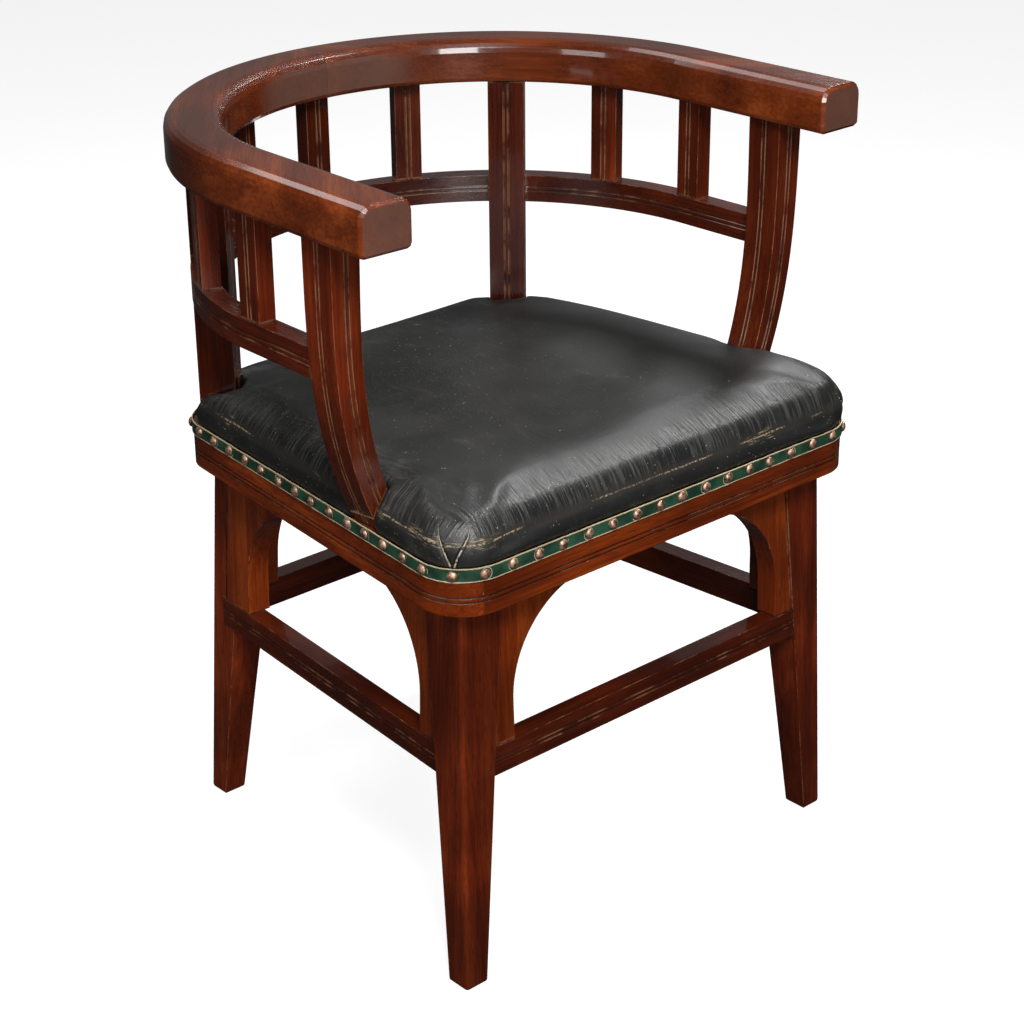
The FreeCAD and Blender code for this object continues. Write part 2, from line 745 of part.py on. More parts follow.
SIDE_RUN_X = f"({leg_at('front', 'x', STRETCHER_TOP)} - {leg_at('rear', 'x', STRETCHER_TOP)})"
SIDE_RUN_Y = f"({leg_at('front', 'y', STRETCHER_TOP)} + {leg_at('rear', 'y', STRETCHER_TOP)})"
SIDE_TURN = f"atan({SIDE_RUN_X} / {SIDE_RUN_Y})"
side_bar = bar("side", f"{SIDE_RUN_Y} / cos({SIDE_TURN}) - {LEG_WIDTH}")
side_middle_x = f"(({leg_at('front', 'x', STRETCHER_TOP)} + {leg_at('rear', 'x', STRETCHER_TOP)}) / 2)"
side_middle_y = f"(({leg_at('rear', 'y', STRETCHER_TOP)} - {leg_at('front', 'y', STRETCHER_TOP)}) / 2)"
place(side_bar, x=f"{side_middle_x} - stretcher_set_in / cos({SIDE_TURN})", y=side_middle_y,
      turn=f"90 deg + {SIDE_TURN}")
side_stretcher = cut(cut(side_bar, leg_front_left, "SideBarFront"), leg_rear_left, "SideBarEnds")
node(side_stretcher, "stretcher_left")
mirrored(side_stretcher, "stretcher_right")


# Brackets: boards that lean with the legs, each with a quarter-round arch under a thin end
def bracket(name, corner, turn, lean_along, lean_in, foot, trimmed_by):
    """A bracket beside a leg.

    corner is the leg's outer corner at the floor, turn the direction of the rail from it;
    lean_along and lean_in say how far the corner moves along the rail and inwards up to the rail.
    """
    tilt = f"atan({lean_in} / seat_rail_bottom)"
    board = doc.addObject("Sketcher::SketchObject", "Board_" + name)
    board.Placement = FreeCAD.Placement(
        FreeCAD.Vector(0, value("bracket_set_in"), 0),
        FreeCAD.Rotation(FreeCAD.Vector(1, 0, 0), value(f"90 deg - {tilt}")),
    )
    bind(board, Placement__Base__y="bracket_set_in", Placement__Rotation__Angle=f"90 deg - {tilt}")

    def up(height):
        return f"({height}) / cos({tilt})"

    at_stretcher = f"({lean_along} * {STRETCHER_TOP} / seat_rail_bottom)"
    foot_width = leg_width_at(STRETCHER_TOP)
    springing = f"({at_stretcher} + {foot_width} + {foot})"
    crown = "(seat_rail_bottom - arch_crown_height)"
    rise = up("arch_radius")
    outline(board, [
        (f"{at_stretcher} + {foot_width} / 2", up(STRETCHER_TOP)),
        (springing, up(STRETCHER_TOP)),
        (springing, f"{up(crown)} - arch_radius", "arch_radius", -1),
        (f"{springing} + arch_radius", up(crown)),
        (f"{springing} + arch_radius + bracket_tip", up(crown)),
        (f"{springing} + arch_radius + bracket_tip", up("seat_rail_bottom")),
        (f"{lean_along} + leg_top_width / 2", up("seat_rail_bottom")),
    ])
    solid = doc.addObject("Part::Extrusion", "Bracket_" + name)
    solid.Base = board
    solid.DirMode = "Custom"
    solid.Dir = (0, 1, 0)
    solid.Solid = True
    solid.LengthFwd = value("bracket_thickness")
    bind(solid, LengthFwd="bracket_thickness")
    place(solid, x=corner[0], y=corner[1], turn=turn)
    return node(cut(solid, trimmed_by, "Trimmed_" + name), name)


front_lean = {axis: f"(front_leg_foot_{axis} - front_leg_top_{axis})" for axis in "xy"}
rear_lean = {axis: f"(rear_leg_foot_{axis} - rear_leg_top_{axis})" for axis in "xy"}
FLOOR_TURN = "atan((front_leg_foot_x - rear_leg_foot_x) / (front_leg_foot_y + rear_leg_foot_y))"
COS = f"cos({FLOOR_TURN})"
SIN = f"sin({FLOOR_TURN})"
brackets = {
    "arch_front_right": bracket(
        "arch_front_right", ("-front_leg_foot_x", "-front_leg_foot_y"), "0",
        front_lean["x"], front_lean["y"], "front_bracket_foot", leg_front_right),
    "arch_rear_left": bracket(
        "arch_rear_left", ("rear_leg_foot_x", "rear_leg_foot_y"), "180",
        rear_lean["x"], rear_lean["y"], "front_bracket_foot", leg_rear_left),
    "arch_left_front": bracket(
        "arch_left_front", ("front_leg_foot_x", "-front_leg_foot_y"), f"90 deg + {FLOOR_TURN}",
        f"({front_lean['y']} * {COS} + {front_lean['x']} * {SIN})",
        f"({front_lean['x']} * {COS} - {front_lean['y']} * {SIN})",
        "side_bracket_foot", leg_front_left),
    "arch_right_rear": bracket(
        "arch_right_rear", ("-rear_leg_foot_x", "rear_leg_foot_y"), f"-90 deg - {FLOOR_TURN}",
        f"({rear_lean['y']} * {COS} - {rear_lean['x']} * {SIN})",
        f"({rear_lean['x']} * {COS} + {rear_lean['y']} * {SIN})",
        "side_bracket_foot", leg_rear_right),
}
for built, opposite in (
    ("arch_front_right", "arch_front_left"), ("arch_rear_left", "arch_rear_right"),
    ("arch_left_front", "arch_right_front"), ("arch_right_rear", "arch_left_rear"),
):
    mirrored(brackets[built], opposite)

# Leather seat: upright sides, a roll and a low crown, notched round the posts
cushion = body("Cushion")
RINGS = (
    ("cushion_clearance", "cushion_clearance", "seat_corner_radius", "0"),
    ("cushion_wall_height", "-cushion_wall_bulge", "seat_corner_radius", "0"),
    ("cushion_crease_height", "-cushion_crease_bulge", "seat_corner_radius", "0"),
    ("cushion_roll_height", "cushion_roll_inset", "seat_corner_radius", "-cushion_roll_tilt"),
    ("cushion_shoulder_height", "cushion_shoulder_inset", "cushion_shoulder_round", "-cushion_shoulder_tilt"),
    ("cushion_slope_height", "cushion_slope_inset", "cushion_slope_round", "-cushion_slope_tilt"),
    ("cushion_upper_height", "cushion_upper_inset", "cushion_upper_round", "-cushion_upper_tilt"),
    ("cushion_top_height", "cushion_top_inset", "cushion_top_round", "-cushion_top_tilt"),
    ("cushion_crown_height", "cushion_crown_inset", "cushion_crown_round", "-cushion_crown_tilt"),
)
cushion_sections = [
    rounded_seat(sketch(cushion, f"Cushion{number}", "XY_Plane", height=f"{SEAT_TOP} + {rise}", tilt=tilt),
                 inset, radius)
    for number, (rise, inset, radius, tilt) in enumerate(RINGS)
]
lofted(cushion, cushion_sections, "CushionLoft", ruled=True)
place(cushion)

recess = body("Recess")
recess_plan = sketch(recess, "RecessPlan", "XY_Plane", height=SEAT_TOP)
rounded_seat(recess_plan, "stuffing_recess_inset", "seat_corner_radius - stuffing_recess_inset")
pad(recess, recess_plan, "2 * strap_thickness + hessian_thickness + cushion_clearance")
place(recess)
hollowed = cut(cushion, recess, "CushionRecessed")

front_notch = body("FrontNotch")
lofted(front_notch, front_post_sections(front_notch, "notch_clearance", "seat_corner_radius", False),
       "NotchLoft")
place(front_notch)
front_notch_right = doc.addObject("Part::Mirroring", "FrontNotchRight")
front_notch_right.Source = front_notch
front_notch_right.Normal = (1, 0, 0)
rear_notches = []
for side, sign in (("Left", "-"), ("Right", "")):
    notch = doc.addObject("Part::Box", "RearNotch" + side)
    depth = "rear_post_depth + notch_clearance + seat_corner_radius"
    width = "rear_post_width + 2 * notch_clearance"
    bind(notch, Width=depth, Length=width, Height="cushion_crown_height * 2")
    turn = f"{sign}rear_post_angle"
    inner = f"({POST_OUTER} - rear_post_depth - notch_clearance)"
    half = "(rear_post_width / 2 + notch_clearance)"
    place(notch, x=f"-{inner} * sin({turn}) - {half} * cos({turn})",
          y=f"{inner} * cos({turn}) - {half} * sin({turn})", z=SEAT_TOP, turn=turn)
    rear_notches.append(notch)
notches = doc.addObject("Part::Compound", "Notches")
notches.Links = [front_notch, front_notch_right, *rear_notches]
node(cut(hollowed, notches, "CushionNotched"), "seat_cushion")

# Band round the leather's lower edge, and the domed nails that hold it
BAND_TOP = f"({SEAT_TOP} + band_rise)"
band = ring("Band", f"{BAND_TOP} - band_height", "band_height", "-band_thickness", "0")
node(band, "seat_band")

nail = body("Nail")
nail_profile = outline(sketch(nail, "NailProfile", "XY_Plane"), [
    (f"nail_diameter / 2 * cos({number} * 45)", f"nail_diameter / 2 * sin({number} * 45)")
    for number in range(8)
])
nail_blank = pad(nail, nail_profile, "nail_dome", name="NailPad")
doc.recompute()
nail_top = [f"Edge{number}" for number, edge in enumerate(nail_blank.Shape.Edges, start=1)
            if at(edge, "Z", value("nail_dome"))]
nail_facets = nail.newObject("PartDesign::Chamfer", "NailFacets")
nail_facets.Base = (nail_blank, nail_top)
nail_facets.ChamferType = "Two distances"
nail_facets.Size = value("nail_dome - nail_edge")
nail_facets.Size2 = value("nail_diameter / 2 - nail_flat")
bind(nail_facets, Size="nail_dome - nail_edge", Size2="nail_diameter / 2 - nail_flat")
doc.recompute()

band_line = sketch(nail, "BandLine", "XY_Plane")
rounded_seat(band_line, "-band_thickness", "seat_corner_radius + band_thickness")
doc.recompute()
line = band_line.Shape.Wires[0]
count = round(line.Length / value("nail_spacing"))
nail_height = value(f"{BAND_TOP} - nail_height")
centre_y = value(BACK_CENTRE)
heads = []
for spot in line.discretize(Number=count + 1)[:-1]:
    edge = min(line.Edges, key=lambda item: item.distToShape(Part.Vertex(spot))[0])
    tangent = edge.tangentAt(edge.Curve.parameter(spot))
    outward = FreeCAD.Vector(tangent.y, -tangent.x, 0)
    if outward.dot(spot) < 0:
        outward = outward * -1
    head = nail.Shape.copy()
    head.Placement = FreeCAD.Placement(
        FreeCAD.Vector(spot.x, spot.y + centre_y, nail_height),
        FreeCAD.Rotation(FreeCAD.Vector(0, 0, 1), outward),
    )
    heads.append(head)
band_nails = doc.addObject("Part::Feature", "BandNails")
band_nails.Shape = Part.makeCompound(heads)
node(band_nails, "band_nails")


# Webbing under the stuffing: straps from front to rear, then straps across on top of them
def side_at(y):
    """Half the seat's width at a distance behind the horseshoe's centre."""
    return f"(seat_front_half_width - {SIDE_SLOPE} * (seat_front + ({y})))"


def strap(name, length_x, length_y, x, y, z):
    """A flat strap, centred at x and y."""
    web = doc.addObject("Part::Box", name)
    bind(web, Length=length_x, Width=length_y, Height="strap_thickness")
    place(web, x=f"{x} - ({length_x}) / 2", y=f"{y} - ({length_y}) / 2", z=z)
    return web


straps = []
for number in (-1, 0, 1):
    straps.append(strap(
        f"StrapLengthwise{number + 2}", "strap_width", "seat_front + seat_rear - 2 * strap_end_inset",
        f"{number} * lengthwise_strap_spacing", "(seat_rear - seat_front) / 2", SEAT_TOP))
lengthwise = doc.addObject("Part::Compound", "Lengthwise")
lengthwise.Links = straps
node(lengthwise, "webbing_lengthwise")

straps = []
for number in range(4):
    middle = f"(-crosswise_strap_front + {number} * crosswise_strap_spacing)"
    straps.append(strap(
        f"StrapCrosswise{number + 1}", f"2 * ({side_at(middle + ' + strap_width / 2')} - strap_end_inset)",
        "strap_width", "0", middle, f"{SEAT_TOP} + strap_thickness"))
crosswise = doc.addObject("Part::Compound", "Crosswise")
crosswise.Links = straps
node(crosswise, "webbing_crosswise")

hessian = body("Hessian")
hessian_plan = sketch(hessian, "HessianPlan", "XY_Plane", height=STRAPS_TOP)
rounded_seat(hessian_plan, "hessian_inset", "seat_corner_radius - hessian_inset")
pad(hessian, hessian_plan, "hessian_thickness")
place(hessian)
hessian_notches = cut(hessian, notches, "HessianNotched")
node(hessian_notches, "seat_hessian")

# Three-cornered blocks glued into the frame's inner corners
blocks = []
for end, corner, along_side in (("Front", front_inner, "1"), ("Rear", rear_inner, "-1")):
    block = body("Block" + end)
    plan = sketch(block, f"Block{end}Plan", "XY_Plane", height="seat_rail_bottom + corner_block_set_up")
    slope = f"({SIDE_SLOPE} / {SIDE_OFFSET})"
    corners = [
        corner,
        (f"{corner[0]} - corner_block_leg", corner[1]),
        (f"{corner[0]} - {along_side} * corner_block_leg * {slope}",
         f"{corner[1]} + {along_side} * corner_block_leg / {SIDE_OFFSET}"),
    ]
    outline(plan, corners)
    pad(block, plan, "corner_block_height")
    place(block)
    other = doc.addObject("Part::Mirroring", "Block" + end + "Right")
    other.Source = block
    other.Normal = (1, 0, 0)
    blocks += [block, other]
corner_blocks = doc.addObject("Part::Compound", "CornerBlocks")
corner_blocks.Links = blocks
node(corner_blocks, "corner_blocks")

doc.recompute()
for item in doc.Objects:
    states = [state for state in item.State if state in ("Invalid", "Error")]
    if states:
        raise RuntimeError(f"{item.Name}: {states}")
for item in NODES:
    if item.Shape.isNull() or not item.Shape.isValid() or not item.Shape.Solids:
        raise RuntimeError(f"{item.Label}: no sound solid")

os.makedirs("parts", exist_ok=True)
for item in NODES:
    item.Shape.exportStep(os.path.join("parts", item.Label + ".step"))
    box = item.Shape.optimalBoundingBox()
    print(f"{item.Label:24s} solids {len(item.Shape.Solids):3d} volume {item.Shape.Volume:12.1f} "
          f"x {box.XMin:8.2f} {box.XMax:8.2f} y {box.YMin:8.2f} {box.YMax:8.2f} "
          f"z {box.ZMin:8.2f} {box.ZMax:8.2f}")
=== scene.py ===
import json
import logging
import math
import random
from collections.abc import Callable, Sequence
from dataclasses import dataclass, field
from enum import Enum

import bpy
from mathutils import Matrix, Vector, noise
from mathutils.bvhtree import BVHTree

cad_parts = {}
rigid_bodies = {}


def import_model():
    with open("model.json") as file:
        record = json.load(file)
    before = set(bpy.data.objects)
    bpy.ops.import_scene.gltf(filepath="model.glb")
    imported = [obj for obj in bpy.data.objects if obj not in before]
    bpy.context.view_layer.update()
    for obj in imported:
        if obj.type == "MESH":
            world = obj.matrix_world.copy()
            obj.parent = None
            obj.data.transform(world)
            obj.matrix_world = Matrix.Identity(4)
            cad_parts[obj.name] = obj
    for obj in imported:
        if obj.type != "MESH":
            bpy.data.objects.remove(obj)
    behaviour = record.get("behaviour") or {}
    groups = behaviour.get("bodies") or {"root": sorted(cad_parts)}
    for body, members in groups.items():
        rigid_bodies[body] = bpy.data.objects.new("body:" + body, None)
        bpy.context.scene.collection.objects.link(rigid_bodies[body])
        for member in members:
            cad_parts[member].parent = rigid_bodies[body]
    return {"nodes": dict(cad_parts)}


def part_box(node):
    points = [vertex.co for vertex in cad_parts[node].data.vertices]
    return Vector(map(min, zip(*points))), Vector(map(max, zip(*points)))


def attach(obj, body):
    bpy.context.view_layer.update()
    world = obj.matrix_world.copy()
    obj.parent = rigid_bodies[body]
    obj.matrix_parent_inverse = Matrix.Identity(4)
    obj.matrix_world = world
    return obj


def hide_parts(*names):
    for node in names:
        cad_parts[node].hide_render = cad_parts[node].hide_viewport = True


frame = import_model()
log = logging.getLogger("captains_chair")

Colour = tuple[float, float, float]
Point = tuple[float, float, float]
Span = tuple[float, float]
Piece = bpy.types.Object
Material = bpy.types.Material
Socket = bpy.types.NodeSocket

# Points closer than this are merged, and a face whose normal has more Z than this looks up.
MERGE = 0.00002
TURNED_UP = 0.5
UP = Vector((0.0, 0.0, 1.0))
WHITE: Colour = (1.0, 1.0, 1.0)


class Grain(Enum):
    """The way the grain runs in a piece of wood."""

    ACROSS = "across the chair"
    DEPTH = "front to back"
    UPRIGHT = "upright"
    RIGHT_BEND = "along the right half of the arm rail"
    LEFT_BEND = "along the left half of the arm rail"


GRAIN_TURNS: dict[Grain, Point] = {
    Grain.ACROSS: (0.0, 0.0, 0.0),
    Grain.DEPTH: (0.0, 0.0, math.radians(90)),
    Grain.UPRIGHT: (0.0, math.radians(90), 0.0),
    Grain.RIGHT_BEND: (0.0, 0.0, math.radians(-52)),
    Grain.LEFT_BEND: (0.0, 0.0, math.radians(52)),
}


class Nodes:
    """Lays out the nodes of one tree."""

    def __init__(self, tree: bpy.types.NodeTree) -> None:
        """Start an empty tree.

        Args:
            tree: The node tree of a material or of the world.
        """
        self.tree = tree
        self.tree.nodes.clear()

    def node(self, kind: str, inputs: dict | None = None, **settings: object) -> bpy.types.Node:
        """Add a node.

        Args:
            kind: Blender's name of the node type.
            inputs: Values or sockets for its inputs, by name or number.
            settings: Properties of the node.

        Returns:
            The new node.
        """
        made = self.tree.nodes.new(kind)
        for name, value in settings.items():
            setattr(made, name, value)
        for name, value in (inputs or {}).items():
            self.feed(made.inputs[name], value)
        return made

    def feed(self, socket: Socket, value: object) -> None:
        """Give an input a number, a vector or another node's output."""
        if isinstance(value, Socket):
            self.tree.links.new(value, socket)
        elif isinstance(value, tuple) and len(value) == 3 and socket.type == "RGBA":
            socket.default_value = (*value, 1.0)
        else:
            socket.default_value = value

    def output(self, kind: str, surface: Socket) -> None:
        """Feed the tree's own output."""
        self.node(kind, {"Surface": surface})


class Board(Nodes):
    """Lays out the nodes of one material."""

    def __init__(self, name: str) -> None:
        """Start a material with one shader.

        Args:
            name: Name of the material.
        """
        self.material = bpy.data.materials.new(name)
        self.material.use_nodes = True
        super().__init__(self.material.node_tree)
        self.shader = self.node("ShaderNodeBsdfPrincipled")
        self.output("ShaderNodeOutputMaterial", self.shader.outputs["BSDF"])

    def place(self) -> Socket:
        """Point on the piece, in metres."""
        return self.node("ShaderNodeTexCoord").outputs["Object"]

    def mapped(self, vector: Socket, scale: Point = (1.0, 1.0, 1.0),
               turn: Point = (0.0, 0.0, 0.0), shift: Point = (0.0, 0.0, 0.0)) -> Socket:
        """Stretch, turn and shift a pattern's coordinates."""
        made = self.node("ShaderNodeMapping", {"Vector": vector, "Location": shift,
                                               "Rotation": turn, "Scale": scale})
        return made.outputs["Vector"]

    def noise(self, vector: Socket, scale: float = 1.0, detail: float = 2.0,
              rough: float = 0.5, distortion: float = 0.0) -> Socket:
        """Soft noise from 0 to 1."""
        made = self.node("ShaderNodeTexNoise", {"Vector": vector, "Scale": scale, "Detail": detail,
                                                "Roughness": rough, "Distortion": distortion})
        return made.outputs["Fac"]

    def cells(self, vector: Socket, scale: float, feature: str = "F1") -> Socket:
        """Distance to the nearest of many scattered points."""
        made = self.node("ShaderNodeTexVoronoi", {"Vector": vector, "Scale": scale}, feature=feature)
        return made.outputs["Distance"]

    def math(self, operation: str, first: object, second: object = 0.0, clamp: bool = False) -> Socket:
        """Work out one number from two."""
        made = self.node("ShaderNodeMath", {0: first, 1: second}, operation=operation, use_clamp=clamp)
        return made.outputs[0]

    def times(self, first: object, second: object) -> Socket:
        """First times second."""
        return self.math("MULTIPLY", first, second)

    def plus(self, first: object, second: object, clamp: bool = False) -> Socket:
        """First plus second."""
        return self.math("ADD", first, second, clamp)

    def less(self, first: object, second: object, clamp: bool = False) -> Socket:
        """First less second."""
        return self.math("SUBTRACT", first, second, clamp)

    def window(self, value: object, span: Span) -> Socket:
        """Go smoothly from 0 to 1 while the value goes from one end of the span to the other."""
        made = self.node("ShaderNodeMapRange", {"Value": value, "From Min": span[0], "From Max": span[1]},
                         interpolation_type="SMOOTHSTEP")
        return made.outputs["Result"]

    def spread(self, value: object, span: Span) -> Socket:
        """Turn 0 to 1 into the span."""
        made = self.node("ShaderNodeMapRange", {"Value": value, "To Min": span[0], "To Max": span[1]})
        return made.outputs["Result"]

    def blend(self, share: object, first: object, second: object) -> Socket:
        """Mix two colours."""
        made = self.node("ShaderNodeMix", data_type="RGBA")
        self.feed(made.inputs[0], share)
        self.feed(made.inputs[6], first)
        self.feed(made.inputs[7], second)
        return made.outputs[2]

    def tint(self, colour: object, mask: object, strength: float, other: object) -> Socket:
        """Lay a second colour over the first where the mask is, at a given strength."""
        return self.blend(self.times(mask, strength), colour, other)

    def closed_in(self, distance: float, samples: int) -> Socket:
        """1 in the open and less in a groove or corner narrower than the distance."""
        node = self.node("ShaderNodeAmbientOcclusion", {"Distance": distance}, samples=samples)
        return node.outputs["AO"]

    def ramp(self, value: object, stops: list[tuple[float, Colour]]) -> Socket:
        """Run through a row of colours."""
        made = self.node("ShaderNodeValToRGB", {"Fac": value})
        bar = made.color_ramp.elements
        while len(bar) < len(stops):
            bar.new(0.5)
        for element, (position, colour) in zip(bar, stops):
            element.position = position
            element.color = (*colour, 1.0)
        return made.outputs["Color"]

    def bump(self, height: object, depth: float, strength: float = 1.0,
             under: Socket | None = None) -> Socket:
        """Relief of the given depth in metres, over another relief if there is one."""
        inputs = {"Height": height, "Distance": depth, "Strength": strength}
        if under is not None:
            inputs["Normal"] = under
        return self.node("ShaderNodeBump", inputs).outputs["Normal"]

    def axes(self, vector: Socket) -> tuple[Socket, ...]:
        """The three parts of a vector."""
        made = self.node("ShaderNodeSeparateXYZ", {"Vector": vector})
        return tuple(made.outputs[:3])

    def own(self, name: str) -> Socket:
        """A number stored on the piece's points."""
        return self.node("ShaderNodeAttribute", attribute_name=name).outputs["Fac"]

    def finish(self, colour: object, rough: object, normal: object | None = None,
               **sockets: object) -> Material:
        """Feed the shader.

        Args:
            colour: Base colour.
            rough: Roughness.
            normal: Relief, if there is any.
            sockets: Further inputs, with underscores for spaces.

        Returns:
            The material.
        """
        self.feed(self.shader.inputs["Base Color"], colour)
        self.feed(self.shader.inputs["Roughness"], rough)
        if normal is not None:
            self.feed(self.shader.inputs["Normal"], normal)
        for name, value in sockets.items():
            self.feed(self.shader.inputs[name.replace("_", " ")], value)
        return self.material


@dataclass(frozen=True)
class Mahogany:
    """French-polished mahogany with fine streaks, open pores and worn arrises."""

    name: str
    grain: Grain
    deep: Colour
    middle: Colour
    light: Colour
    wear: float = 0.62
    arris: float = 0.0013
    end_grain: bool = False
    shift: Point = (0.0, 0.0, 0.0)
    # Lighter worn colour for rubbed arrises and for the groove lips, where it is partly a painted highlight.
    worn: Colour = (0.36, 0.16, 0.075)
    chipped: Colour = (0.50, 0.33, 0.20)
    # Near-black laid into narrow grooves and joins: partly grime, partly painted shade.
    grime_and_shade_colour: Colour = (0.003, 0.0012, 0.001)
    end_colour: Colour = (0.090, 0.046, 0.034)
    broad_figure: Point = (3.0, 34.0, 34.0)
    fine_streak: Point = (11.0, 360.0, 360.0)
    open_pore: Point = (55.0, 1700.0, 1700.0)
    ramp_stops: Point = (0.30, 0.50, 0.68)
    pore_span: Span = (0.57, 0.66)
    patina_span: Span = (0.38, 0.62)
    arris_turn: Span = (0.995, 0.80)
    groove: float = 0.0022
    groove_bottom: Span = (0.90, 0.52)
    groove_lip: Span = (0.975, 0.90)
    chip_span: Span = (0.68, 0.72)
    gloss: Span = (0.12, 0.32)
    end_facing: Span = (-0.90, -0.97)

    def material(self) -> Material:
        """Build the finish."""
        board = Board(self.name)
        run = board.mapped(board.place(), turn=GRAIN_TURNS[self.grain], shift=self.shift)
        streak = board.noise(board.mapped(run, self.fine_streak), detail=3.0, rough=0.6)
        pores = board.window(board.noise(board.mapped(run, self.open_pore), detail=1.0), self.pore_span)
        colour = self.timber(board, run, streak, pores)
        eased = board.node("ShaderNodeBevel", {"Radius": self.arris}, samples=5).outputs["Normal"]
        normal = board.node("ShaderNodeNewGeometry").outputs["Normal"]
        turn = board.node("ShaderNodeVectorMath", {0: eased, 1: normal}, operation="DOT_PRODUCT")
        edge = board.window(turn.outputs["Value"], self.arris_turn)
        openness = board.closed_in(self.groove, 6)
        # Darker in narrow grooves and where pieces meet, found by occlusion: partly grime, partly painted
        # shade.
        grime_and_shade = board.window(openness, self.groove_bottom)
        rub = board.noise(run, scale=38.0, detail=3.0, rough=0.65)
        rubbed = board.times(edge, board.window(rub, (self.wear - 0.18, self.wear + 0.08)))
        rubbed = board.times(rubbed, board.less(1.0, grime_and_shade, clamp=True))
        chips = board.times(edge, board.window(board.noise(run, scale=120.0), self.chip_span))
        # Lighter lips along each groove in the worn colour: partly wear, partly a painted highlight.
        lip_wear_and_highlight = board.times(board.window(openness, self.groove_lip),
                          board.window(rub, (self.wear - 0.16, self.wear + 0.04)))
        colour = board.tint(colour, rubbed, 0.72, self.worn)
        colour = board.tint(colour, chips, 0.8, self.chipped)
        colour = board.tint(colour, lip_wear_and_highlight, 0.6, self.worn)
        colour = board.tint(colour, grime_and_shade, 0.94, self.grime_and_shade_colour)
        rough = board.spread(board.noise(run, scale=14.0, detail=3.0), self.gloss)
        rough = board.plus(rough, board.times(board.plus(pores, rubbed), 0.14))
        rough = board.plus(rough, board.times(grime_and_shade, 0.3), clamp=True)
        if self.end_grain:
            end = board.window(board.axes(normal)[1], self.end_facing)
            rings = board.spread(board.noise(run, scale=260.0, detail=3.0), (0.45, 0.95))
            colour = board.blend(board.times(end, rings), colour, self.end_colour)
            rough = board.plus(rough, board.times(end, 0.16), clamp=True)
        relief = board.bump(board.less(streak, pores), depth=0.00006, strength=0.35, under=eased)
        waver = board.noise(run, scale=46.0, detail=1.0)
        relief = board.bump(waver, depth=0.0005, strength=0.10, under=relief)
        return board.finish(colour, rough, relief, Coat_Weight=0.9, Coat_Roughness=0.06,
                            Specular_IOR_Level=0.35)

    def timber(self, board: Board, run: Socket, streak: Socket, pores: Socket) -> Socket:
        """Colour of the wood before any wear.

        Args:
            board: The material's nodes.
            run: Coordinates with the grain along their first axis.
            streak: Fine streaks along the grain.
            pores: Mask of the open pores.

        Returns:
            The colour.
        """
        broad = board.noise(board.mapped(run, self.broad_figure), detail=3.0, distortion=0.5)
        figure = board.plus(board.times(broad, 0.62), board.times(streak, 0.38))
        colour = board.ramp(figure, list(zip(self.ramp_stops, (self.deep, self.middle, self.light))))
        cloud = board.spread(board.noise(run, scale=9.0, detail=2.0), (0.0, 0.3))
        colour = board.blend(cloud, colour, self.middle)
        patina = board.window(board.noise(run, scale=5.5, detail=3.0, rough=0.55), self.patina_span)
        colour = board.blend(board.spread(patina, (0.0, 0.55)), colour, self.deep)
        return board.tint(colour, pores, 0.6, self.deep)


